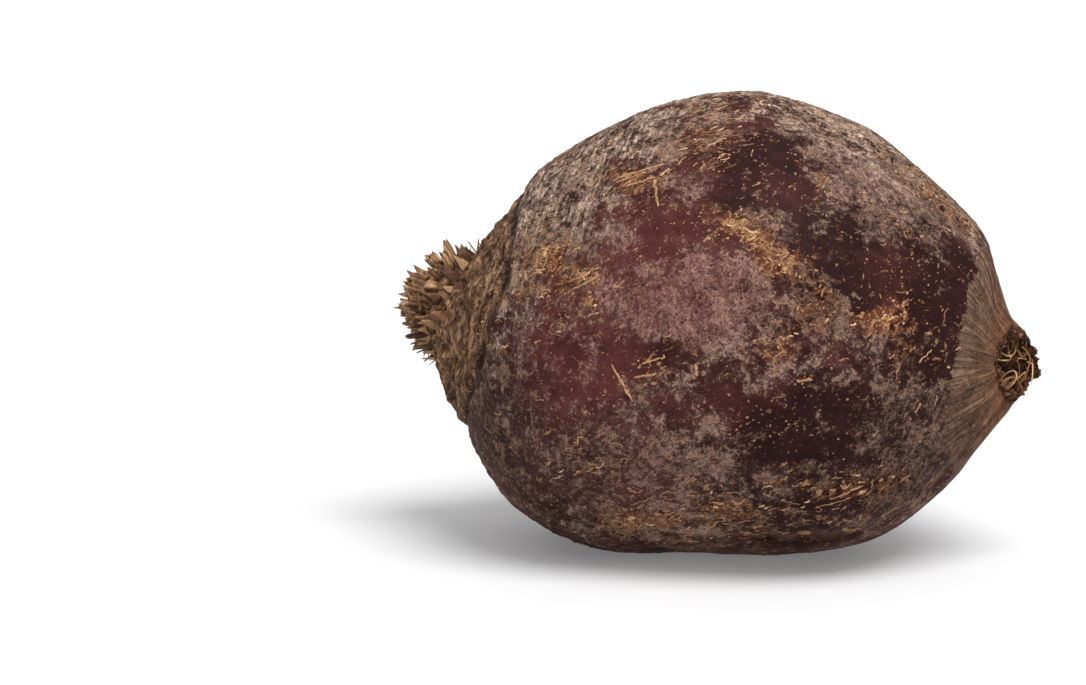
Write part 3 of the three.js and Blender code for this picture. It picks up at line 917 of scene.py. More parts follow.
class ShaderBench:
    """A material in the making: each method adds a node and returns what comes out of it."""

    def __init__(self, name: str) -> None:
        """Starts an empty material."""
        self.material = bpy.data.materials.new(name)
        self.material.use_nodes = True
        self.tree = self.material.node_tree
        self.tree.nodes.clear()

    def node(
        self, kind: str, feeds: dict[str | int, Feed] | None = None, **settings: object
    ) -> bpy.types.Node:
        """Adds one node.

        Args:
            kind: Its Blender type, without the ShaderNode in front.
            feeds: What goes into each socket: a plain value, or another node's output.
            settings: The node's own options.

        Returns:
            The node.
        """
        made = self.tree.nodes.new("ShaderNode" + kind)
        for name, value in settings.items():
            setattr(made, name, value)
        for socket, value in (feeds or {}).items():
            if isinstance(value, Socket):
                self.tree.links.new(value, made.inputs[socket])
            else:
                made.inputs[socket].default_value = value
        return made

    def place(self) -> Socket:
        """Returns the place on the part, in millimetres."""
        where = self.node("TexCoord").outputs["Object"]
        return self.node("VectorMath", {0: where, "Scale": METRE}, operation="SCALE").outputs[0]

    def mark(self, name: str) -> Socket:
        """Returns a number stored at the mesh's points."""
        return self.node("Attribute", attribute_name=name).outputs["Fac"]

    def vector(self, name: str, stretch: tuple[float, float, float]) -> Socket:
        """Returns a vector stored at the mesh's points, stretched along each of its axes."""
        stored = self.node("Attribute", attribute_name=name).outputs["Vector"]
        return self.node("VectorMath", {0: stored, 1: stretch}, operation="MULTIPLY").outputs[0]

    def shifted(self, place: Socket, by: Socket, reach: float) -> Socket:
        """Returns a place pushed about by a coloured noise, so that lines and cells turn ragged.

        Args:
            place: The place.
            by: The noise.
            reach: How far it pushes, in millimetres.

        Returns:
            The moved place.
        """
        moved = self.node("VectorMath", {0: by, 1: (0.5, 0.5, 0.5)}, operation="SUBTRACT").outputs[0]
        moved = self.node("VectorMath", {0: moved, "Scale": reach}, operation="SCALE").outputs[0]
        return self.node("VectorMath", {0: place, 1: moved}, operation="ADD").outputs[0]

    def noise(self, place: Socket, size: float, detail: float = 2, colour: bool = False) -> Socket:
        """Adds soft noise.

        Args:
            place: Where it is read.
            size: Size of its lumps.
            detail: How many finer layers it has.
            colour: Whether to return three numbers in place of one.

        Returns:
            Numbers around 0.5.
        """
        feeds = {"Vector": place, "Scale": 1 / size, "Detail": detail, "Roughness": 0.6}
        return self.node("TexNoise", feeds).outputs["Color" if colour else "Fac"]

    def cells(self, place: Socket, size: float, edges: bool = False) -> bpy.types.Node:
        """Adds cells, measured from their middles or from their edges."""
        feature = "DISTANCE_TO_EDGE" if edges else "F1"
        return self.node("TexVoronoi", {"Vector": place, "Scale": 1 / size}, feature=feature)

    def sum(self, first: Feed, second: Feed, share: Feed = 1.0) -> Socket:
        """Returns the first number plus a share of the second."""
        return self.node("Math", {0: second, 1: share, 2: first}, operation="MULTIPLY_ADD").outputs[0]

    def times(self, first: Feed, second: Feed) -> Socket:
        """Returns two numbers multiplied."""
        return self.node("Math", {0: first, 1: second}, operation="MULTIPLY").outputs[0]

    def step(self, value: Feed, low: float, high: float) -> Socket:
        """Returns 0 below low, 1 above high and a smooth rise between; low may be the larger."""
        feeds = {"Value": value, "From Min": low, "From Max": high}
        return self.node("MapRange", feeds, interpolation_type="SMOOTHSTEP").outputs[0]

    def spread(self, value: Feed, low: float, high: float, start: float = 0.3, end: float = 0.7) -> Socket:
        """Returns a noise's usual range, start to end, stretched from low to high."""
        feeds = {"Value": value, "From Min": start, "From Max": end, "To Min": low, "To Max": high}
        return self.node("MapRange", feeds).outputs[0]

    def ridge(self, noise: Feed, width: float) -> Socket:
        """Returns thin lines where a noise passes through its middle value."""
        far = self.node("Math", {0: noise, 1: 0.5}, operation="SUBTRACT").outputs[0]
        far = self.node("Math", {0: far}, operation="ABSOLUTE").outputs[0]
        return self.step(far, width, 0.0)

    def mix(self, share: Feed, first: Feed, second: Feed, way: str = "MIX") -> Socket:
        """Returns two colours mixed.

        Args:
            share: How much of the second.
            first: The colour below.
            second: The colour laid over it.
            way: Blender's blending mode.

        Returns:
            The mixed colour.
        """
        feeds = {0: share, 6: first, 7: second}
        return self.node("Mix", feeds, data_type="RGBA", blend_type=way).outputs[2]

    def tone(self, share: Feed, dark: Tint, light: Tint) -> Socket:
        """Returns a colour between two tints."""
        return self.mix(share, linear(dark), linear(light))

    def dim(self, colour: Feed, value: Feed) -> Socket:
        """Returns a colour made darker or lighter by a number."""
        grey = self.node("CombineXYZ", {0: value, 1: value, 2: value}).outputs[0]
        return self.mix(1.0, colour, grey, way="MULTIPLY")

    def done(self, colour: Socket, rough: Feed, height: Socket, **plain: float) -> bpy.types.Material:
        """Closes the material.

        Args:
            colour: Base colour.
            rough: Roughness.
            height: Height of the finest relief, in millimetres.
            plain: Other sockets of the shader that stay one number, by name, with _ for spaces.

        Returns:
            The finished material.
        """
        bump = self.node("Bump", {"Height": height, "Distance": 1 / METRE, "Strength": 1.0}).outputs[0]
        feeds = {"Base Color": colour, "Roughness": rough, "Normal": bump}
        feeds |= {name.replace("_", " "): value for name, value in plain.items()}
        shader = self.node("BsdfPrincipled", feeds).outputs[0]
        self.node("OutputMaterial", {"Surface": shader})
        return self.material


class Layer(NamedTuple):
    """What the shader has so far: colour, height in millimetres and roughness."""

    colour: Socket
    height: Socket
    rough: Socket


class Grains(NamedTuple):
    """Noises that the skin's layers share, from the broadest to the finest, with four that run in lines."""

    slow: Socket
    medium: Socket
    small: Socket
    grain: Socket
    lines: Socket
    streaks: Socket
    hoops: Socket
    strokes: Socket


@dataclass(frozen=True)
class SkinFinish:
    """The root's skin: bare maroon, grey scurf, cork, the pale cone, the collar and the torn end."""

    bare_dark: Tint = (42, 20, 20)
    bare_light: Tint = (80, 42, 40)
    bare_red: Tint = (92, 50, 47)
    scurf_dark: Tint = (66, 42, 37)
    scurf_light: Tint = (156, 124, 111)
    mauve_dark: Tint = (98, 58, 55)
    mauve_light: Tint = (152, 112, 104)
    # lightest tint of the scurf where it lies in painted shade
    shaded_scurf_light: Tint = (124, 97, 85)
    # Buff crust tints; the light one is also painted light where the top is lit.
    buff_dark: Tint = (70, 45, 38)
    buff_light_and_painted_highlight: Tint = (250, 215, 190)
    # Near black for cracks and gaps, also used as painted shade in the crease and in the shaded scurf.
    crack_and_shade: Tint = (30, 17, 15)
    stain: Tint = (108, 60, 38)
    cork_brown: Tint = (124, 79, 50)
    cork_tan: Tint = (192, 147, 108)
    cork_pale: Tint = (216, 182, 146)
    cone_dark: Tint = (88, 64, 50)
    cone_light: Tint = (128, 100, 81)
    cone_warm: Tint = (126, 84, 60)
    collar_dark: Tint = (66, 43, 33)
    collar_light: Tint = (194, 150, 113)
    # dark torn flesh, also the painted shade deep in the mouth
    torn_dark_and_hollow_shade: Tint = (36, 23, 17)
    torn_light: Tint = (122, 80, 54)

    def material(self) -> bpy.types.Material:
        """Returns the material, which reads the marks that the skin's mesh carries."""
        bench = ShaderBench("beet_skin")
        place = bench.place()
        sway = bench.noise(place, 1.7, 3, colour=True)
        ragged = bench.shifted(place, sway, 1.6)
        grains = Grains(
            slow=bench.noise(place, 11.0, 3),
            medium=bench.noise(ragged, 4.6, 6),
            small=bench.noise(ragged, 1.2, 5),
            grain=bench.noise(place, 0.42, 3),
            lines=bench.noise(bench.vector("flow", (1.0, 1.0, 0.09)), 1.0, 2),
            streaks=bench.noise(bench.shifted(bench.vector("flow", (1.0, 1.0, 0.36)), sway, 1.2), 1.5, 4),
            hoops=bench.noise(bench.shifted(bench.vector("flow", (0.22, 0.22, 1.0)), sway, 0.7), 0.8, 4),
            strokes=bench.noise(bench.shifted(bench.vector("slant", (2.4, 2.4, 0.7)), sway, 2.4), 1.0, 4),
        )
        layer = self._bare(bench, place, ragged, grains)
        layer = self._scurf(bench, layer, ragged, grains)
        layer = self._cork(bench, layer, ragged, grains)
        layer = self._cone(bench, layer, grains)
        layer = self._collar(bench, layer, grains)
        layer = self._scars(bench, layer, grains)
        layer = self._torn(bench, layer, place, grains)
        return bench.done(layer.colour, layer.rough, layer.height, Specular_IOR_Level=0.05)

    def _bare(self, bench: ShaderBench, place: Socket, ragged: Socket, grains: Grains) -> Layer:
        """Returns the smooth dark skin, with its faint streaks, pale dust and painted shade.

        Args:
            bench: The material in the making.
            place: The place on the part.
            ragged: The place on the part, pushed about.
            grains: The noises that the layers share.

        Returns:
            The layers so far.
        """
        depth = bench.sum(bench.spread(grains.slow, 0.15, 0.65, 0.36, 0.66), bench.mark("mauve"), 0.45)
        # Painted shade makes the bare skin darker and less red.
        depth = bench.sum(depth, bench.mark("dusk"), -0.38)
        colour = bench.tone(bench.step(depth, 0.0, 1.0), self.bare_dark, self.bare_light)
        red = bench.step(bench.sum(bench.noise(place, 6.5, 4), bench.mark("dusk"), -0.2), 0.5, 0.72)
        colour = bench.mix(bench.times(red, 0.25), colour, linear(self.bare_red))
        colour = bench.dim(colour, bench.sum(1.0, bench.mark("dusk"), -0.15))
        colour = bench.dim(colour, bench.spread(grains.streaks, 0.7, 1.3))
        colour = bench.dim(colour, bench.spread(grains.grain, 0.8, 1.2))
        dust = bench.cells(ragged, 1.5)
        chosen = bench.step(bench.node("SeparateColor", {0: dust.outputs["Color"]}).outputs[0], 0.42, 0.50)
        speck = bench.times(bench.step(dust.outputs["Distance"], 0.17, 0.10), chosen)
        colour = bench.mix(bench.times(speck, 0.6), colour, linear(self.cork_tan))
        height = bench.sum(bench.times(speck, 0.08), grains.grain, 0.10)
        height = bench.sum(height, grains.streaks, 0.25)
        return Layer(colour, height, bench.spread(grains.small, 0.50, 0.64))

    def _scurf(self, bench: ShaderBench, below: Layer, ragged: Socket, grains: Grains) -> Layer:
        """Lays the dry grey scurf over what is below, broken by cracks and pits.

        Args:
            bench: The material in the making.
            below: What this layer is laid on.
            ragged: The place on the part, pushed about.
            grains: The noises that the layers share.

        Returns:
            The layers so far.
        """
        reach = bench.sum(bench.mark("scurf"), bench.sum(grains.medium, -0.5), 1.25)
        reach = bench.sum(reach, bench.sum(grains.streaks, -0.5), 0.7)
        reach = bench.sum(reach, bench.sum(grains.small, -0.5), 0.8)
        reach = bench.sum(reach, bench.sum(grains.grain, -0.5), 0.55)
        share = bench.step(reach, 0.485, 0.525)
        haze = bench.times(bench.step(reach, 0.31, 0.52), 0.36)
        blend = bench.sum(bench.sum(bench.times(grains.small, 0.42), grains.grain, 0.22), grains.medium, 0.36)
        lined = bench.times(bench.sum(grains.hoops, -0.5), bench.mark("shoulder"))
        lined = bench.sum(bench.times(lined, 0.35), bench.sum(grains.strokes, -0.5), 0.12)
        level = bench.spread(bench.sum(blend, lined), 0, 1, 0.425, 0.575)
        colour = bench.tone(level, self.scurf_dark, self.scurf_light)
        mauve = bench.tone(level, self.mauve_dark, self.mauve_light)
        colour = bench.mix(bench.mark("mauve"), colour, mauve)
        # Buff crust over the scurf, lighter on the top and shoulders as painted light.
        buff = bench.tone(level, self.buff_dark, self.buff_light_and_painted_highlight)
        colour = bench.mix(bench.times(bench.mark("buff"), bench.step(grains.slow, 0.25, 0.45)), colour, buff)
        # Painted shade: a darker copy of the scurf where the skin is shaded.
        dusk = bench.tone(level, self.crack_and_shade, self.shaded_scurf_light)
        colour = bench.mix(bench.mark("dusk"), colour, dusk)
        colour = bench.dim(colour, bench.spread(grains.medium, 0.75, 1.25))
        patchy = bench.step(grains.medium, 0.50, 0.60)
        strewn = bench.times(bench.step(grains.strokes, 0.59, 0.65), patchy)
        flecks = self._most(bench, bench.step(grains.grain, 0.60, 0.68), strewn)
        colour = bench.mix(bench.times(flecks, 0.45), colour, linear(self.cork_tan))
        cracks = bench.times(bench.ridge(grains.small, 0.020), bench.step(grains.medium, 0.42, 0.52))
        cells = bench.cells(ragged, 3.4, edges=True)
        plates = bench.times(bench.step(cells.outputs["Distance"], 0.085, 0.02), bench.mark("buff"))
        plates = bench.times(plates, bench.step(grains.medium, 0.42, 0.52))
        pits = bench.step(bench.cells(ragged, 1.9).outputs["Distance"], 0.19, 0.10)
        fissures = bench.times(bench.ridge(grains.hoops, 0.036), bench.step(grains.medium, 0.38, 0.48))
        fissures = bench.times(fissures, bench.mark("shoulder"))
        gaps = bench.times(bench.step(grains.small, 0.425, 0.375), bench.mark("buff"))
        nicks = bench.times(bench.step(grains.strokes, 0.41, 0.35), bench.sum(1.0, patchy, -1.0))
        broken = self._most(bench, cracks, plates, pits, fissures, gaps, bench.times(nicks, 0.6))
        colour = bench.mix(bench.times(broken, 0.8), colour, linear(self.crack_and_shade))
        veil = bench.node("Math", {0: share, 1: haze}, operation="MAXIMUM").outputs[0]
        shown = bench.mix(veil, below.colour, colour)
        top = bench.sum(bench.sum(-0.30, grains.grain, 0.50), grains.small, 0.40)
        crust = bench.sum(grains.hoops, grains.small)
        top = bench.sum(top, bench.times(crust, bench.mark("buff")), 0.5)
        top = bench.sum(top, broken, -0.3)
        height = bench.sum(below.height, bench.times(share, top))
        return Layer(shown, height, bench.sum(below.rough, share, 0.34))

    def _most(self, bench: ShaderBench, *shares: Socket) -> Socket:
        """Returns the largest of some numbers.

        Args:
            bench: The material in the making.
            *shares: The numbers.

        Returns:
            The largest.
        """
        most = shares[0]
        for share in shares[1:]:
            most = bench.node("Math", {0: most, 1: share}, operation="MAXIMUM").outputs[0]
        return most

    def _cork(self, bench: ShaderBench, below: Layer, ragged: Socket, grains: Grains) -> Layer:
        """Lays lacy cork over what is below, on a brown stain.

        Args:
            bench: The material in the making.
            below: What this layer is laid on.
            ragged: The place on the part, pushed about.
            grains: The noises that the layers share.

        Returns:
            The layers so far.
        """
        mark = bench.mark("cork")
        lace = bench.step(bench.cells(ragged, 2.1, edges=True).outputs["Distance"], 0.20, 0.06)
        curls = bench.step(grains.strokes, 0.53, 0.62)
        reach = bench.sum(bench.times(mark, 0.32), lace, 0.26)
        reach = bench.sum(reach, curls, 0.18)
        reach = bench.sum(reach, bench.sum(grains.small, -0.5), 0.9)
        reach = bench.sum(reach, bench.sum(grains.grain, -0.5), 0.35)
        share = bench.step(reach, 0.46, 0.51)
        stain = bench.sum(bench.times(mark, 0.8), bench.sum(grains.small, -0.5), 2.2)
        shown = bench.mix(bench.times(bench.step(stain, 0.36, 0.62), 0.6), below.colour, linear(self.stain))
        level = bench.spread(bench.sum(bench.times(grains.medium, 0.5), grains.grain, 0.5), 0, 1, 0.42, 0.60)
        colour = bench.tone(level, self.cork_brown, self.cork_tan)
        colour = bench.mix(bench.step(grains.grain, 0.58, 0.70), colour, linear(self.cork_pale))
        # Painted shade darkens the cork as well.
        shown = bench.mix(share, shown, bench.dim(colour, bench.sum(1.0, bench.mark("dusk"), -0.35)))
        height = bench.sum(below.height, bench.times(share, bench.sum(0.02, grains.grain, 0.50)))
        return Layer(shown, height, bench.sum(below.rough, bench.times(share, 0.12)))

    def _cone(self, bench: ShaderBench, below: Layer, grains: Grains) -> Layer:
        """Lays the pale, finely ridged skin of the cone over what is below.

        Args:
            bench: The material in the making.
            below: What this layer is laid on.
            grains: The noises that the layers share.

        Returns:
            The layers so far.
        """
        reach = bench.sum(bench.mark("cone"), bench.sum(grains.medium, -0.5), 0.9)
        reach = bench.sum(reach, bench.sum(grains.streaks, -0.5), 1.1)
        share = bench.step(reach, 0.42, 0.50)
        level = bench.step(bench.sum(bench.times(grains.lines, 0.55), grains.grain, 0.45), 0.40, 0.60)
        colour = bench.tone(level, self.cone_dark, self.cone_light)
        warm = bench.dim(linear(self.cone_warm), bench.spread(level, 0.7, 1.15, 0.0, 1.0))
        colour = bench.mix(bench.times(bench.mark("warm"), 0.65), colour, warm)
        furrow = bench.times(bench.ridge(grains.lines, 0.026), bench.step(grains.small, 0.38, 0.46))
        colour = bench.mix(bench.times(furrow, 0.85), colour, linear(self.crack_and_shade))
        shown = bench.mix(share, below.colour, colour)
        top = bench.sum(bench.times(grains.lines, 0.60), furrow, -0.16)
        height = bench.sum(below.height, bench.times(share, top))
        return Layer(shown, height, bench.sum(below.rough, share, 0.1))

    def _collar(self, bench: ShaderBench, below: Layer, grains: Grains) -> Layer:
        """Lays the fibrous collar under the crown over what is below, with painted shade in the crease behind
        it.

        Args:
            bench: The material in the making.
            below: What this layer is laid on.
            grains: The noises that the layers share.

        Returns:
            The layers so far.
        """
        reach = bench.sum(bench.mark("collar"), bench.sum(grains.medium, -0.5), 2.4)
        reach = bench.sum(reach, bench.sum(grains.small, -0.5), 1.6)
        share = bench.times(bench.step(reach, 0.36, 0.70), 0.85)
        fibrous = bench.sum(bench.times(grains.hoops, 0.65), grains.small, 0.35)
        colour = bench.tone(bench.spread(fibrous, 0, 1, 0.41, 0.59), self.collar_dark, self.collar_light)
        colour = bench.dim(colour, bench.spread(grains.slow, 0.75, 1.15))
        colour = bench.dim(colour, bench.spread(grains.grain, 0.65, 1.35))
        gaps = self._most(bench, bench.ridge(grains.hoops, 0.03), bench.step(grains.small, 0.41, 0.36))
        colour = bench.mix(bench.times(gaps, 0.7), colour, linear(self.crack_and_shade))
        shown = bench.mix(share, below.colour, colour)
        # Painted shade: the crease behind the collar is darkened.
        shade = bench.sum(bench.mark("crease"), bench.sum(grains.small, -0.5), 1.2)
        shown = bench.mix(bench.times(bench.step(shade, 0.15, 0.9), 0.75), shown, linear(self.crack_and_shade))
        height = bench.sum(below.height, bench.times(share, bench.sum(fibrous, gaps, -0.25)))
        return Layer(shown, height, bench.sum(below.rough, share, 0.1))

    def _scars(self, bench: ShaderBench, below: Layer, grains: Grains) -> Layer:
        """Draws fine lines along the rows of scars, darkens the scars and gives them pale lips.

        Args:
            bench: The material in the making.
            below: What this layer is laid on.
            grains: The noises that the layers share.

        Returns:
            The layers so far.
        """
        row = bench.step(bench.sum(bench.mark("row"), bench.sum(grains.medium, -0.5), 1.0), 0.25, 0.8)
        lined = bench.tone(bench.step(grains.lines, 0.40, 0.60), self.cone_dark, self.scurf_light)
        shown = bench.mix(bench.times(row, 0.35), below.colour, lined)
        furrow = bench.times(bench.ridge(grains.lines, 0.03), row)
        shown = bench.mix(bench.times(furrow, 0.7), shown, linear(self.crack_and_shade))
        pit = bench.sum(bench.mark("pit"), bench.sum(grains.small, -0.5), 0.9)
        lip = bench.times(bench.step(pit, 0.16, 0.34), 0.5)
        shown = bench.mix(lip, shown, linear(self.cork_tan))
        shown = bench.mix(bench.times(bench.step(pit, 0.45, 0.75), 0.9), shown, linear(self.crack_and_shade))
        return Layer(shown, bench.sum(below.height, bench.times(lip, grains.grain), 0.1), below.rough)

    def _torn(self, bench: ShaderBench, below: Layer, place: Socket, grains: Grains) -> Layer:
        """Lays the dark broken flesh of the taproot's stub over what is below, darker deep in the mouth as
        painted shade.

        Args:
            bench: The material in the making.
            below: What this layer is laid on.
            place: The place on the part.
            grains: The noises that the layers share.

        Returns:
            The layers so far.
        """
        share = bench.step(bench.sum(bench.mark("stub"), bench.sum(grains.small, -0.5), 1.6), 0.40, 0.60)
        lumps = bench.noise(place, 1.0, 4)
        colour = bench.tone(bench.spread(lumps, 0, 1, 0.42, 0.64), self.torn_dark_and_hollow_shade, self.torn_light)
        colour = bench.dim(colour, bench.spread(grains.grain, 0.6, 1.4))
        # Painted shade: the flesh darkens deep in the torn mouth.
        colour = bench.mix(bench.times(bench.mark("hollow"), 0.6), colour, linear(self.torn_dark_and_hollow_shade))
        shown = bench.mix(share, below.colour, colour)
        height = bench.sum(below.height, bench.times(share, lumps), 0.5)
        return Layer(shown, height, bench.sum(below.rough, share, 0.08))


@dataclass(frozen=True)
class DryFinish:
    """A dry, fibrous plant surface that runs from a dark to a light tint by each piece's own tone."""

    name: str
    dark: Tint
    middle: Tint
    light: Tint
    grain_size: float
    grain_height: float
    roughness: float = 0.8

    def material(self) -> bpy.types.Material:
        """Returns the material, which reads the tone that each mesh carries."""
        bench = ShaderBench(self.name)
        place = bench.place()
        grain = bench.noise(place, self.grain_size, 3)
        patch = bench.noise(place, 6 * self.grain_size, 3)
        tone = bench.sum(bench.mark("tone"), bench.sum(patch, -0.5), 0.9)
        colour = bench.tone(bench.step(tone, 0.0, 0.5), self.dark, self.middle)
        colour = bench.mix(bench.step(tone, 0.45, 1.0), colour, linear(self.light))
        colour = bench.dim(colour, bench.spread(grain, 0.66, 1.34))
        height = bench.times(grain, self.grain_height)
        rough = bench.spread(patch, self.roughness - 0.08, self.roughness + 0.08)
        return bench.done(colour, rough, height, Specular_IOR_Level=0.2)


CORK = DryFinish("beet_cork", (98, 62, 43), (158, 115, 80), (210, 172, 133), 0.3, 0.12)
ROOTLET = DryFinish("beet_rootlet", (82, 54, 34), (142, 100, 62), (214, 178, 132), 0.25, 0.05)
FIBRE = DryFinish("beet_torn_fibre", (44, 27, 21), (92, 60, 44), (148, 106, 78), 0.4, 0.3)
STALK = DryFinish("beet_dry_stalk", (58, 38, 28), (128, 92, 64), (192, 154, 116), 0.35, 0.3)


# Pieces


@dataclass
class RootSkin:
    """The swollen root's whole skin, from the crown to the floor of the torn mouth, as one closed mesh."""

    surface: SkinSurface
    sides: int = 360
    ring_steps: tuple[tuple[int, float], ...] = ((3, 0.8), (7, 0.46), (12, 0.74), (15, 0.60), (SPANS, 0.48))

    def stations(self) -> Array:
        """Returns where the rings lie, closer together where the relief is finer."""
        form = self.surface.form
        places: list[float] = []
        start = 0
        for end, step in self.ring_steps:
            for span in range(start, end):
                length = np.linalg.norm(form.plain(span + 1, 0.0) - form.plain(span, 0.0))
                rings = max(2, round(length / step))
                places += [span + ring / rings for ring in range(1 if span == 0 else 0, rings)]
            start = end
        return np.array(places)

    def build(self) -> bpy.types.Object:
        """Returns the finished piece."""
        stations = self.stations()
        angles = 2 * np.pi * np.arange(self.sides) / self.sides
        rings = self.surface.sample(stations[:, None], angles[None, :])
        ends = self.surface.sample(np.array([0.0, float(SPANS)]), np.zeros(2))
        marks = {name: self._closed(ends.marks[name], values) for name, values in rings.marks.items()}
        points = self._closed(ends.points, rings.points)
        lot = MeshLot()
        faces = ring_faces(len(stations), self.sides)
        lot.add(points, faces, marks, self._spots(rings.points))
        return lot.piece("root_skin", SkinFinish().material(), Slot.SKIN, "root")

    def _closed(self, ends: Array, rings: Array) -> Array:
        """Returns the rings' values in one row, between those of the two end points."""
        return np.concatenate([ends[:1], rings.reshape(-1, *rings.shape[2:]), ends[1:]])

    def _spots(self, rings: Array) -> list[list[tuple[float, float]]]:
        """Unrolls the skin, cut open along its underside, for the bake map.

        Args:
            rings: The skin's points, by ring and side.

        Returns:
            A place in the map for each corner of each face.
        """
        run = np.linalg.norm(np.diff(rings[:, 0], axis=0), axis=-1)
        down = np.concatenate([[0.0], np.cumsum(run)]) + 1.0
        down = down / (down[-1] + 1.0)
        half = self.sides // 2
        left = [((side + half) % self.sides) / self.sides for side in range(self.sides)]
        step = 1 / self.sides
        spots = [[(u + step / 2, 0.0), (u + step, down[0]), (u, down[0])] for u in left]
        for top, low in zip(down[:-1], down[1:]):
            spots += [[(u, top), (u + step, top), (u + step, low), (u, low)] for u in left]
        return spots + [[(u, down[-1]), (u + step, down[-1]), (u + step / 2, 1.0)] for u in left]


class Flake(Enum):
    """The kinds of raised cork mark."""

    SPECK = "speck"
    SCALE = "scale"
    STROKE = "stroke"
    CURL = "curl"


class Scratch(NamedTuple):
    """One long cork scratch: its start and end as station and angle in degrees, and its half width."""

    start: tuple[float, float]
    end: tuple[float, float]
    half: float


@dataclass
class CorkFlakes:
    """Raised cork marks on the skin: specks, ragged scales, thin strokes and broad curls."""

    surface: SkinSurface
    seed: int = 5
    specks: int = 3200
    scales: int = 800
    strokes: int = 820
    curls: int = 190
    speck_size: tuple[float, float] = (0.12, 0.27)
    scale_size: tuple[float, float] = (0.16, 0.42)
    stroke_length: tuple[float, float] = (0.8, 2.8)
    stroke_half: tuple[float, float] = (0.11, 0.27)
    curl_length: tuple[float, float] = (1.0, 2.6)
    curl_half: tuple[float, float] = (0.18, 0.42)
    height: float = 0.12
    sunk: float = 0.22
    scale_sides: int = 9
    speck_sides: int = 5
    stroke_steps: int = 9
    reach: tuple[float, float] = (6.2, 14.9)
    scratches: tuple[Scratch, ...] = (
        Scratch((9.31, 90.5), (9.60, 101.0), 0.24),
        Scratch((9.62, 91.3), (9.86, 89.3), 0.26),
        Scratch((9.55, 94.6), (9.80, 93.6), 0.28),
        Scratch((10.16, 90.6), (10.18, 94.2), 0.36),
        Scratch((8.72, 42.2), (9.40, 38.7), 0.36),
        Scratch((8.80, 43.4), (9.20, 40.8), 0.24),
        Scratch((8.99, 45.4), (9.33, 43.2), 0.30),
        Scratch((9.31, 43.6), (9.48, 53.0), 0.26),
        Scratch((8.60, 71.0), (8.98, 67.0), 0.28),
        Scratch((8.66, 73.0), (9.00, 69.5), 0.24),
        Scratch((11.15, 92.0), (11.36, 90.6), 0.30),
        Scratch((12.75, 82.0), (12.95, 75.5), 0.2),
        Scratch((11.55, 128.5), (12.05, 124.5), 0.18),
        Scratch((11.35, 131.5), (11.9, 128.0), 0.18),
        Scratch((10.2, 146.0), (10.35, 140.0), 0.22),
    )

    def build(self) -> bpy.types.Object:
        """Returns the finished piece."""
        random = np.random.default_rng(self.seed)
        lot = MeshLot()
        shapes: list[tuple[Array, Array, Array, list[list[int]], float]] = []
        station, angle, cork, fleck = self._ground()
        counts = {
            Flake.SPECK: self.specks,
            Flake.SCALE: self.scales,
            Flake.STROKE: self.strokes,
            Flake.CURL: self.curls,
        }
        for kind, count in counts.items():
            chance = self._chance(kind, station, angle, cork, fleck)
            for index in random.choice(station.size, size=count, p=chance):
                off_station, off_angle = random.uniform(-0.08, 0.08), random.uniform(-0.01, 0.01)
                centre = (station[index] + off_station, angle[index] + off_angle)
                shapes.append(self._shape(kind, centre, float(cork[index]), random))
        shapes += [self._scratch(scratch, random) for scratch in self.scratches]
        stations = np.concatenate([shape[0] for shape in shapes])
        angles = np.concatenate([shape[1] for shape in shapes])
        heights = np.concatenate([shape[2] for shape in shapes])
        ground = self.surface.sample(stations, angles)
        points = ground.points + ground.outward * heights[:, None]
        points[:, 2] = np.maximum(points[:, 2], 0)
        columns = math.ceil(math.sqrt(len(shapes)))
        first = 0
        for number, (own, _, _, faces, tone) in enumerate(shapes):
            last = first + len(own)
            spots = self._spots(stations[first:last], angles[first:last], faces, number, columns)
            lot.add(points[first:last], faces, {"tone": np.full(len(own), tone)}, spots)
            first = last
        return lot.piece("cork_marks", CORK.material(), Slot.SKIN, "root")

    def _ground(self) -> tuple[Array, Array, Array, Array]:
        """Returns places spread over the skin, with the cork's and the flecks' weight there."""
        places, angles = np.meshgrid(
            np.linspace(*self.reach, 220), np.radians(np.arange(0, 360, 1.5)), indexing="ij"
        )
        station, angle = places.ravel(), angles.ravel()
        form = self.surface.form
        plain = form.plain(station, angle)
        marks = self.surface.marks(station, angle, plain)
        return station, angle, marks["cork"], marks["fleck"]

    def _chance(self, kind: Flake, station: Array, angle: Array, cork: Array, fleck: Array) -> Array:
        """Returns how likely a mark of this kind starts at each place.

        Args:
            kind: The kind of mark.
            station: Stations along the outline.
            angle: Angles round the axis.
            cork: The cork's weight at each place.
            fleck: The flecks' weight at each place.

        Returns:
            Chances that add up to 1.
        """
        form = self.surface.form
        length = np.linalg.norm(form.along(station, angle), axis=-1)
        round_about = np.linalg.norm(form.around(station, angle), axis=-1)
        plenty = {
            Flake.SPECK: 0.08 + 0.7 * np.clip(cork, 0, 1),
            Flake.SCALE: 0.03 + np.clip(cork, 0, 1) ** 2,
            Flake.STROKE: 0.04 + 0.7 * np.clip(cork, 0, 1) ** 2 + 1.2 * fleck,
            Flake.CURL: 0.01 + 0.8 * np.clip(cork, 0, 1) ** 2 + 0.5 * fleck,
        }[kind]
        weight = length * round_about * plenty * (1 - 0.85 * self.surface.cone.at(station))
        return weight / weight.sum()

    def _sizes(self, centre: tuple[float, float]) -> tuple[float, float]:
        """Returns how many millimetres one station and one radian are at a place.

        Args:
            centre: The place's station and angle.

        Returns:
            The two lengths.
        """
        form = self.surface.form
        along = np.linalg.norm(form.along(*centre)) / (2 * PROBE)
        around = np.linalg.norm(form.around(*centre)) / (2 * PROBE)
        return float(along), float(around)

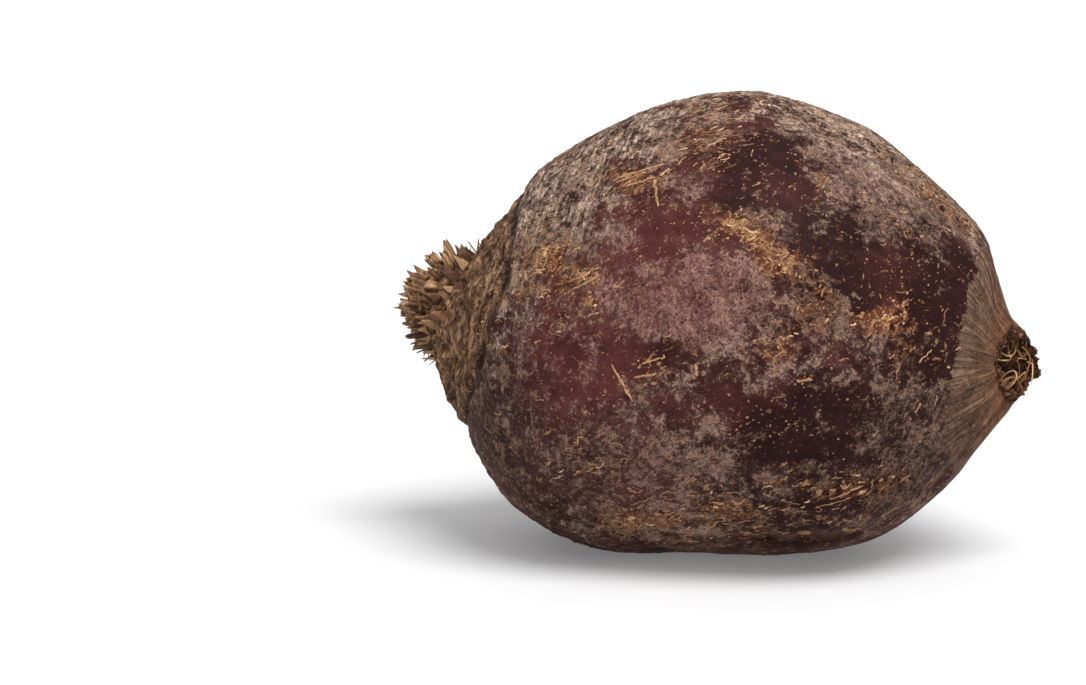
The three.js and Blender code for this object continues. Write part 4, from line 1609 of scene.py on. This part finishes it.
    def _shape(
        self, kind: Flake, centre: tuple[float, float], cork: float, random: np.random.Generator
    ) -> tuple[Array, Array, Array, list[list[int]], float]:
        """Draws one mark.

        Args:
            kind: The kind of mark.
            centre: Its station and angle.
            cork: The cork's weight there, which makes it paler.
            random: Where its draws come from.

        Returns:
            Its points' stations, angles and heights, its faces and its tone.
        """
        lean = random.normal(-0.4 - 0.45 * max(math.cos(centre[1]), 0.0), 0.45)
        tone = float(np.clip(random.normal(0.22 + 0.42 * min(cork, 1.0), 0.24), 0, 1))
        if kind in (Flake.STROKE, Flake.CURL):
            broad = kind is Flake.CURL
            length = random.uniform(*(self.curl_length if broad else self.stroke_length))
            bend = random.normal(0, 0.24 if broad else 0.16) * length
            share = np.linspace(-0.5, 0.5, self.stroke_steps)
            spine = np.stack([share * length, bend * (1 - 4 * share**2)], axis=-1)
            spine[:, 1] += random.normal(0, 0.12 if broad else 0.06, self.stroke_steps)
            reach = random.uniform(*(self.curl_half if broad else self.stroke_half))
            half = reach * random.uniform(0.3, 1.4, self.stroke_steps)
            tone *= 0.8 if broad else 1.0
            flat, heights, faces = self._ribbon(spine, half)
        else:
            sides = self.speck_sides if kind is Flake.SPECK else self.scale_sides
            size = random.uniform(*(self.speck_size if kind is Flake.SPECK else self.scale_size))
            stretch = random.uniform(1.0, 2.0)
            tone *= 0.85
            turn = 2 * np.pi * (np.arange(sides) + random.uniform(-0.3, 0.3, sides)) / sides
            reach = size * random.uniform(0.45, 1.35, sides)
            wide, narrow = reach * stretch, reach / math.sqrt(stretch)
            rim = np.stack([np.cos(turn) * wide, np.sin(turn) * narrow], axis=-1)
            flat, heights, faces = self._plate(rim, kind is Flake.SCALE)
        cos, sin = math.cos(lean), math.sin(lean)
        flat = flat @ np.array([[cos, sin], [-sin, cos]])
        along, around = self._sizes(centre)
        return centre[0] + flat[:, 0] / along, centre[1] + flat[:, 1] / around, heights, faces, tone

    def _plate(self, rim: Array, stepped: bool) -> tuple[Array, Array, list[list[int]]]:
        """Makes a small closed plate.

        Args:
            rim: Its outline, along and around.
            stepped: Whether it has a raised inner edge.

        Returns:
            Its points along and around, their heights and its faces.
        """
        sides = len(rim)
        middle = np.zeros((1, 2))
        top, low = self.height * 0.8, -self.sunk
        rings = [rim * 0.72, rim] if stepped else [rim]
        flat = np.concatenate([middle, *rings, middle])
        edges = [self.height * 0.7, low * 0.4] if stepped else [low * 0.3]
        levels = [np.full(sides, edge) for edge in edges]
        heights = np.concatenate([[top], *levels, [low]])
        return flat, heights, ring_faces(len(rings), sides)

    def _ribbon(self, spine: Array, half: Array) -> tuple[Array, Array, list[list[int]]]:
        """Makes a thin closed ridge with steep sides, a flat back and pointed ends.

        Args:
            spine: Its middle line, along and around.
            half: Its half width at each point of the line.

        Returns:
            Its points along and around, their heights and its faces.
        """
        ahead = unit(np.gradient(spine, axis=0))
        aside = np.stack([-ahead[:, 1], ahead[:, 0]], axis=-1) * half[:, None]
        places = np.array([-1.0, -0.62, 0.62, 1.0])
        sections = (spine[:, None] + places[:, None] * aside[:, None])[1:-1]
        low, top = -self.sunk * 0.5, self.height * 0.75
        levels = np.tile([low, top, top, low], (len(spine) - 2, 1))
        flat = np.concatenate([spine[:1], sections.reshape(-1, 2), spine[-1:]])
        heights = np.concatenate([[low], levels.ravel(), [low]])
        return flat, heights, ring_faces(len(spine) - 2, len(places))

    def _scratch(
        self, scratch: Scratch, random: np.random.Generator
    ) -> tuple[Array, Array, Array, list[list[int]], float]:
        """Draws one long scratch between two places.

        Args:
            scratch: Where it runs.
            random: Where its draws come from.

        Returns:
            Its points' stations, angles and heights, its faces and its tone.
        """
        steps = 12
        share = np.linspace(0, 1, steps)
        along, around = self._sizes((scratch.start[0], math.radians(scratch.start[1])))
        reach = np.array(
            [
                (scratch.end[0] - scratch.start[0]) * along,
                math.radians(scratch.end[1] - scratch.start[1]) * around,
            ]
        )
        spine = share[:, None] * reach
        spine = spine + random.normal(0, 0.09, spine.shape)
        half = scratch.half * random.uniform(0.55, 1.25, steps)
        flat, heights, faces = self._ribbon(spine, half)
        stations = scratch.start[0] + flat[:, 0] / along
        return stations, math.radians(scratch.start[1]) + flat[:, 1] / around, heights, faces, 0.56

    def _spots(
        self, stations: Array, angles: Array, faces: list[list[int]], number: int, columns: int
    ) -> list[list[tuple[float, float]]]:
        """Gives a mark its own cell of the bake map.

        Args:
            stations: Its points' stations.
            angles: Its points' angles.
            faces: Its faces.
            number: Which mark it is.
            columns: How many cells the map has side by side.

        Returns:
            A place in the map for each corner of each face.
        """
        flat = np.stack([stations, angles], axis=-1)
        low, high = flat.min(axis=0), flat.max(axis=0)
        inner = 0.15 + 0.7 * (flat - low) / np.maximum(high - low, 1e-9)
        corner = np.array([number % columns, number // columns])
        placed = (inner + corner) / columns
        return [[tuple(placed[index]) for index in face] for face in faces]


@dataclass
class TornTaproot:
    """What stands at the snapped taproot: fine dry rootlets, and dark splinters round its mouth."""

    surface: SkinSurface
    count: int = 11
    seed: int = 41
    steps: int = 8
    sunk: float = 2.5
    stations: tuple[float, float] = (17.5, 18.3)
    length: tuple[float, float] = (7, 13)
    outward: float = 0.9
    inward: float = 0.35
    turn: tuple[float, float] = (0.15, 0.9)
    drift: tuple[tuple[float, float], ...] = ((0.2, -0.8), (-0.75, 0.25), (-0.5, 0.5))
    radius: float = 0.19
    fine_count: int = 46
    fine_seed: int = 77
    fine_length: tuple[float, float] = (3, 8)
    fine_radius: float = 0.10
    splinters: int = 120
    splinter_seed: int = 19

    def _path(self, angle: float, length: float, station: float, drift: Array) -> Array:
        """Returns one rootlet's line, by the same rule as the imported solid's.

        Args:
            angle: Where round the mouth it starts.
            length: Its length.
            station: How deep in the mouth it starts.
            drift: The way that it bends to.

        Returns:
            Points of its middle line.
        """
        form = self.surface.form
        place = np.array(station), np.array(angle)
        plain = form.plain(*place)
        foot = plain + form.outward(*place) * form.relief(*place, plain)
        foot[0] += form.tear(*place) - self.sunk
        inward = unit(np.array([self.inward, math.sin(angle), -math.cos(angle)]))
        path = [foot]
        for step in range(1, self.steps + 1):
            share = step / self.steps
            heading = unit(lerp(inward, drift, float(smooth_step(share, *self.turn))))
            heading[0] += self.outward * (1 - float(smooth_step(share, 0, 0.5)))
            path.append(path[-1] + unit(heading) * length / self.steps)
        return np.array(path)

    def _rootlet(self, lot: MeshLot, path: Array, radius: float, tone: float, bend: SmoothNoise) -> None:
        """Adds one tapering, slightly kinked rootlet.

        Args:
            lot: The mesh that it joins.
            path: A few points of its middle line.
            radius: Its radius at the foot.
            tone: How pale it is.
            bend: What kinks it.
        """
        sides, steps = 6, 22
        line = through(path, np.linspace(0, 1, steps))
        wander = np.stack([bend.at(line + shift, 2.2) for shift in (0.0, 9.0, 18.0)], axis=-1)
        line = line + wander * 0.35 * np.linspace(0, 1, steps)[:, None]
        taper = radius * (1 - 0.55 * np.linspace(0, 1, steps - 2))
        taper = taper * (1 + 0.2 * bend.at(line[1:-1] + 50, 0.9))
        rings, _ = tube(line, taper, taper, unit(np.array([0.3, 0.5, 0.8])), sides)
        points = np.concatenate([line[:1], rings.reshape(-1, 3), line[-1:]])
        marks = {"tone": np.full(len(points), tone)}
        lot.add(self.surface.form.settle(points), ring_faces(steps - 2, sides), marks)

    def build_rootlets(self) -> bpy.types.Object:
        """Returns the rootlets as one piece."""
        lot = MeshLot()
        bend = SmoothNoise(8)
        draws = SeededDraws(self.seed)
        for number in range(self.count):
            angle = 2 * math.pi * (number + 0.6 * draws.draw()) / self.count
            length = draws.between(*self.length)
            station = draws.between(*self.stations)
            drift = unit(np.array([draws.between(*reach) for reach in self.drift]))
            tone = 0.15 + 0.8 * (number * 0.37 % 1)
            self._rootlet(lot, self._path(angle, length, station, drift), self.radius, tone, bend)
        draws = SeededDraws(self.fine_seed)
        for _ in range(self.fine_count):
            angle = draws.between(0, 2 * math.pi)
            length = draws.between(*self.fine_length)
            station = draws.between(17.0, 18.6)
            drift = unit(np.array([draws.between(*reach) for reach in self.drift]))
            tone = draws.between(0.05, 0.75)
            self._rootlet(lot, self._path(angle, length, station, drift), self.fine_radius, tone, bend)
        return lot.piece("rootlets", ROOTLET.material(), Slot.SKIN, "root")

    def build_splinters(self) -> bpy.types.Object:
        """Returns the splinters of broken flesh round the mouth as one piece."""
        random = np.random.default_rng(self.splinter_seed)
        form = self.surface.form
        lot = MeshLot()
        sides, steps = 5, 6
        for _ in range(self.splinters):
            station = random.uniform(16.3, 18.7)
            angle = random.uniform(0, 2 * np.pi)
            foot = self.surface.sample(np.array([station]), np.array([angle]))
            out = foot.outward[0]
            tipward = form.turn(np.array([1.0, 0.0, 0.0]))
            rise, ahead = random.uniform(-0.3, 0.25), random.uniform(0.2, 0.9)
            heading = unit(out * rise + tipward * ahead + random.normal(0, 0.4, 3))
            length = random.uniform(0.2, 0.8)
            width = random.uniform(0.25, 0.7)
            line = foot.points[0] + heading * np.linspace(-0.7, length, steps)[:, None]
            line = line + random.normal(0, 0.07, line.shape)
            half = width * np.linspace(1.0, 0.6, steps - 2) * random.uniform(0.8, 1.2, steps - 2)
            rings, _ = tube(line, half, half * 0.5, unit(random.normal(0, 1, 3)), sides)
            rings = rings + random.normal(0, 0.07, rings.shape)
            points = np.concatenate([line[:1], rings.reshape(-1, 3), line[-1:]])
            marks = {"tone": np.full(len(points), random.uniform(0, 0.75))}
            lot.add(points, ring_faces(steps - 2, sides), marks)
        return lot.piece("torn_splinters", FIBRE.material(), Slot.SKIN, "root")


@dataclass
class LeafCrown:
    """The cut and withered leaf stalks on the crown, with the papery scales round them."""

    form: RootForm
    count: int = 27
    seed: int = 7
    sunk: float = 2.2
    spread: float = 8.6
    length: tuple[float, float] = (6.6, 3.8)
    width: tuple[float, float] = (3.0, 6.2)
    thickness: tuple[float, float] = (2.0, 1.3)
    lean: tuple[float, float] = (4, 64)
    uneven_length: tuple[float, float] = (0.75, 1.25)
    uneven_lean: tuple[float, float] = (-5, 5)
    curl: float = 0.35
    taper: float = 0.42
    channel: float = 0.34
    core_radius: float = 8.4
    core_height: float = 2.2
    core_fall: float = 0.045
    sides: int = 28
    steps: int = 12
    scales: int = 84
    scale_seed: int = 29
    strips: int = 210
    strip_seed: int = 63
    reach: float = -64.3

    def _stub(
        self, lot: MeshLot, foot: Array, heading: Array, across: Array, sizes: Array, noise: SmoothNoise
    ) -> None:
        """Adds one ribbed stub with a ragged, hollow end.

        Args:
            lot: The mesh that it joins.
            foot: Where it leaves the core.
            heading: The way that it first points.
            across: The way that its width lies.
            sizes: Its length, width and thickness.
            noise: What roughens it.
        """
        length, width, thickness = sizes
        up = self.form.crown_axes()[2]
        stride = (length + self.sunk) / (self.steps + 1)
        path = [foot - heading * self.sunk]
        for step in range(self.steps + 1):
            path.append(path[-1] + unit(heading + up * self.curl * step / self.steps) * stride)
        line = np.array(path)
        share = np.linspace(0, 1, self.steps)
        slim = 1 - self.taper * share
        rings, ahead = tube(line, slim * width / 2, slim * thickness / 2, across, self.sides, self.channel)
        turn = 2 * np.pi * np.arange(self.sides) / self.sides
        centre = line[1:-1, None]
        ribs = 1 + 0.09 * np.cos(9 * turn + 2 * noise.at(rings, 3.0)) + 0.34 * noise.at(rings, 1.7, 3)
        rings = centre + (rings - centre) * ribs[..., None]
        torn = 1.5 * noise.at(rings[-1] + 40, 0.9, 2) - 0.45
        rings[-1] += ahead[-1] * torn[:, None]
        rings[-2] += ahead[-1] * torn[:, None] * 0.6
        middle = rings[-1].mean(axis=0)
        lip = middle + (rings[-1] - middle) * 0.74 - ahead[-1] * 0.1
        pith = 0.5 * noise.at(rings[-1] + 70, 0.7, 2)
        floor = middle + (rings[-1] - middle) * 0.42 + ahead[-1] * (pith[:, None] - 0.45)
        every = np.concatenate([rings, lip[None], floor[None]])
        end = middle - ahead[-1] * 0.3
        points = np.concatenate([line[:1], every.reshape(-1, 3), end[None]])
        tone = 0.18 + 0.4 * share[:, None] + 0.25 * np.cos(9 * turn) + 0.5 * noise.at(rings, 2.5, 2)
        tone = np.concatenate([tone, np.full((1, self.sides), 0.55), np.full((1, self.sides), 0.15)])
        marks = {"tone": np.concatenate([[0.2], tone.ravel(), [0.25]])}
        lot.add(self.form.settle(points), ring_faces(len(every), self.sides), marks)

    def _core(self, lot: MeshLot, noise: SmoothNoise) -> None:
        """Adds the low, rough dome that the stubs grow from.

        Args:
            lot: The mesh that it joins.
            noise: What roughens it.
        """
        edge, side, up = self.form.crown_axes()
        rings, sides = 24, 90
        rise = np.linspace(0, math.pi, rings + 2)[1:-1]
        turn = 2 * np.pi * np.arange(sides) / sides
        flat = np.sin(rise)[:, None, None] * (np.cos(turn)[:, None] * edge + np.sin(turn)[:, None] * side)
        shape = flat * self.core_radius + np.cos(rise)[:, None, None] * up * self.core_height
        shape = shape * (1 + 0.20 * noise.at(shape, 1.3, 3))[..., None]
        centre = self.form.plain(0, 0)
        ends = centre + np.array([up, -up]) * self.core_height
        points = np.concatenate([ends[:1], (shape + centre).reshape(-1, 3), ends[1:]])
        faces = [face[::-1] for face in ring_faces(rings, sides)]
        lot.add(self.form.settle(points), faces, {"tone": 0.22 + 0.5 * noise.at(points, 0.9, 2)})

    def build_stalks(self) -> bpy.types.Object:
        """Returns the stubs and their core as one piece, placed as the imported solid's are."""
        draws = SeededDraws(self.seed)
        noise = SmoothNoise(52)
        edge, side, up = self.form.crown_axes()
        centre = self.form.plain(0, 0)
        lot = MeshLot()
        self._core(lot, noise)
        for number in range(self.count):
            share = number / (self.count - 1)
            turn = number * GOLDEN_ANGLE
            outward = edge * math.cos(turn) + side * math.sin(turn)
            lean = math.radians(lerp(*self.lean, share) + draws.between(*self.uneven_lean))
            heading = up * math.cos(lean) + outward * math.sin(lean)
            radius = self.spread * math.sqrt(share)
            foot = centre + outward * radius + up * (self.core_height / 2 - self.core_fall * radius**2)
            length = lerp(*self.length, share) * draws.between(*self.uneven_length)
            sizes = np.array([length, lerp(*self.width, share), lerp(*self.thickness, share)])
            self._stub(lot, foot, heading, np.cross(up, outward), sizes, noise)
        return lot.piece("dry_stalks", STALK.material(), Slot.DRY_STALK, "crown_stalks")

    def build_scales(self) -> bpy.types.Object:
        """Returns the papery leaf-base scales that lie round the stubs as one piece."""
        random = np.random.default_rng(self.scale_seed)
        lot = MeshLot()
        edge, side, up = self.form.crown_axes()
        sides, steps = 8, 9
        for number in range(self.scales):
            angle = number * GOLDEN_ANGLE + random.normal(0, 0.1)
            station = np.array(random.uniform(1.3, 3.6))
            foot = self.form.plain(station, np.array(angle))
            out = self.form.outward(station, np.array(angle))
            heading = unit(out * random.uniform(0.5, 1.0) + up * random.uniform(0.2, 0.9))
            length = random.uniform(1.6, 3.4)
            bend = np.linspace(0, 1, steps)[:, None] ** 2 * random.uniform(-0.3, 0.9) * out
            line = foot + heading * np.linspace(-1.0, length, steps)[:, None] + bend
            width = random.uniform(0.7, 1.7) * np.linspace(1.0, 0.2, steps - 2)
            width = width * random.uniform(0.8, 1.2, steps - 2)
            around = unit(np.cross(out, heading) + random.normal(0, 0.1, 3))
            rings, _ = tube(line, width, np.full(steps - 2, 0.14), around, sides)
            points = np.concatenate([line[:1], rings.reshape(-1, 3), line[-1:]])
            tone = np.full(len(points), random.uniform(0.0, 0.8))
            lot.add(self.form.settle(points), ring_faces(steps - 2, sides), {"tone": tone})
        self._strips(lot)
        return lot.piece("crown_scales", STALK.material(), Slot.DRY_STALK, "crown_stalks")

    def _strips(self, lot: MeshLot) -> None:
        """Adds the torn strips that the withered stalks leave between and round the stubs.

        Args:
            lot: The mesh that they join.
        """
        random = np.random.default_rng(self.strip_seed)
        edge, side, up = self.form.crown_axes()
        centre = self.form.plain(0, 0)
        sides, steps = 6, 8
        for number in range(self.strips):
            turn = number * GOLDEN_ANGLE + random.normal(0, 0.2)
            outward = edge * math.cos(turn) + side * math.sin(turn)
            radius = random.uniform(0.5, 10.8)
            foot = centre + outward * radius + up * (self.core_height / 2 - self.core_fall * radius**2 - 1.0)
            lean = math.radians(random.uniform(10, 40) + 4.5 * radius)
            heading = unit(up * math.cos(lean) + outward * math.sin(lean) + random.normal(0, 0.22, 3))
            length = random.uniform(1.8, 4.2)
            share = np.linspace(0, 1, steps)[:, None]
            line = foot + heading * length * share + random.normal(0, 0.5, 3) * share**2
            room = self.form.settle(foot)[0] - self.reach
            depth = self.form.settle(foot)[0] - self.form.settle(line)[:, 0].min()
            line = foot + (line - foot) * min(1.0, room / max(depth, 0.1))
            half = random.uniform(0.25, 0.75) * np.linspace(1.0, 0.35, steps - 2)
            half = half * random.uniform(0.75, 1.25, steps - 2)
            broad = unit(np.cross(up, outward) + random.normal(0, 0.3, 3))
            rings, _ = tube(line, half, half * 0.35, broad, sides)
            points = np.concatenate([line[:1], rings.reshape(-1, 3), line[-1:]])
            tone = np.full(len(points), random.uniform(0.0, 0.8))
            lot.add(self.form.settle(points), ring_faces(steps - 2, sides), {"tone": tone})


# Studio


class SoftLight(NamedTuple):
    """A broad, even light: where it comes from and how wide it spreads, in degrees, and its strength."""

    azimuth: float
    elevation: float
    spread: float
    strength: float


@dataclass(frozen=True)
class Studio:
    """A white floor, soft light and the camera, set as the photograph was taken."""

    aim: tuple[float, float, float] = (-0.03357, 0.0, 0.03954)
    azimuth: float = 16.0
    elevation: float = 9.0
    distance: float = 0.7
    sensor: float = 36.0
    frame_width: float = 0.2172
    floor_side: float = 16.0
    sky: float = 0.16
    horizon: float = 0.95
    horizon_height: float = 0.24
    floor_tint: Tint = (210, 210, 211)
    # The floor glows faintly, which lightens the shadows on it: painted light.
    floor_glow: float = 0.15
    lights: tuple[SoftLight, ...] = (
        SoftLight(46, 62, 34, 3.0),
        SoftLight(100, 82, 110, 1.3),
        SoftLight(30, 24, 90, 0.75),
    )

    def _toward(self, azimuth: float, elevation: float) -> Vector:
        """Returns the direction from the aim point to a place round it.

        Args:
            azimuth: Its turn from straight in front, in degrees.
            elevation: Its height, in degrees.

        Returns:
            The direction.
        """
        turn, rise = math.radians(azimuth), math.radians(elevation)
        return Vector((math.sin(turn) * math.cos(rise), -math.cos(turn) * math.cos(rise), math.sin(rise)))

    def build(self) -> None:
        """Sets up the floor, the light and the camera."""
        self._camera()
        self._floor()
        self._surroundings()
        for number, light in enumerate(self.lights):
            self._lamp(f"soft_light_{number + 1}", light)
        bpy.context.scene.view_settings.view_transform = "Standard"

    def _surroundings(self) -> None:
        """Makes a white backdrop that gives way to a dimmer room higher up."""
        world = bpy.data.worlds.new("studio_room")
        world.use_nodes = True
        tree = world.node_tree
        toward = tree.nodes.new("ShaderNodeTexCoord")
        height = tree.nodes.new("ShaderNodeSeparateXYZ")
        fade = tree.nodes.new("ShaderNodeMapRange")
        fade.interpolation_type = "SMOOTHSTEP"
        fade.inputs["From Min"].default_value = 0.0
        fade.inputs["From Max"].default_value = self.horizon_height
        fade.inputs["To Min"].default_value = self.horizon
        fade.inputs["To Max"].default_value = self.sky
        tree.links.new(toward.outputs["Generated"], height.inputs[0])
        tree.links.new(height.outputs["Z"], fade.inputs["Value"])
        tree.links.new(fade.outputs[0], tree.nodes["Background"].inputs["Strength"])
        tree.nodes["Background"].inputs["Color"].default_value = (1, 1, 1, 1)
        bpy.context.scene.world = world

    def _camera(self) -> None:
        """Makes the camera."""
        lens = bpy.data.cameras.new("camera")
        lens.sensor_width = self.sensor
        lens.lens = self.sensor * self.distance / self.frame_width
        lens.clip_start, lens.clip_end = 0.01, 50
        camera = bpy.data.objects.new("camera", lens)
        back = self._toward(self.azimuth, self.elevation)
        camera.location = Vector(self.aim) + back * self.distance
        camera.rotation_euler = (-back).to_track_quat("-Z", "Y").to_euler()
        bpy.context.scene.collection.objects.link(camera)
        bpy.context.scene.camera = camera

    def _lamp(self, name: str, light: SoftLight) -> None:
        """Makes one broad light.

        Args:
            name: Its plain name.
            light: Where it comes from and how strong it is.
        """
        lamp = bpy.data.lights.new(name, "SUN")
        lamp.energy, lamp.angle = light.strength, math.radians(light.spread)
        holder = bpy.data.objects.new(name, lamp)
        toward = self._toward(light.azimuth, light.elevation)
        holder.location = Vector(self.aim) + toward
        holder.rotation_euler = (-toward).to_track_quat("-Z", "Y").to_euler()
        bpy.context.scene.collection.objects.link(holder)

    def _floor(self) -> None:
        """Makes the floor, wide enough to fill the view."""
        half = self.floor_side / 2
        mesh = bpy.data.meshes.new("floor")
        corners = [(-half, -half, 0), (half, -half, 0), (half, half, 0), (-half, half, 0)]
        mesh.from_pydata(corners, [], [(0, 1, 2, 3)])
        bench = ShaderBench("studio_floor")
        cloud = bench.noise(bench.place(), 60.0, 2)
        colour = bench.dim(linear(self.floor_tint), bench.spread(cloud, 0.99, 1.01))
        rough, height = bench.spread(cloud, 0.66, 0.74), bench.times(cloud, 0.01)
        # The floor's glow is painted light that lightens the shadows on it.
        mesh.materials.append(bench.done(colour, rough, height, Emission_Strength=self.floor_glow))
        floor = bpy.data.objects.new("floor", mesh)
        bpy.context.scene.collection.objects.link(floor)


def main() -> None:
    """Builds the studio and the beetroot's pieces in order."""
    logging.basicConfig(level=logging.INFO, format="%(name)s: %(message)s")
    surface = SkinSurface()
    Studio().build()
    RootSkin(surface).build()
    CorkFlakes(surface).build()
    torn = TornTaproot(surface)
    torn.build_rootlets()
    torn.build_splinters()
    crown = LeafCrown(surface.form)
    crown.build_stalks()
    crown.build_scales()


if __name__ == "__main__":
    main()
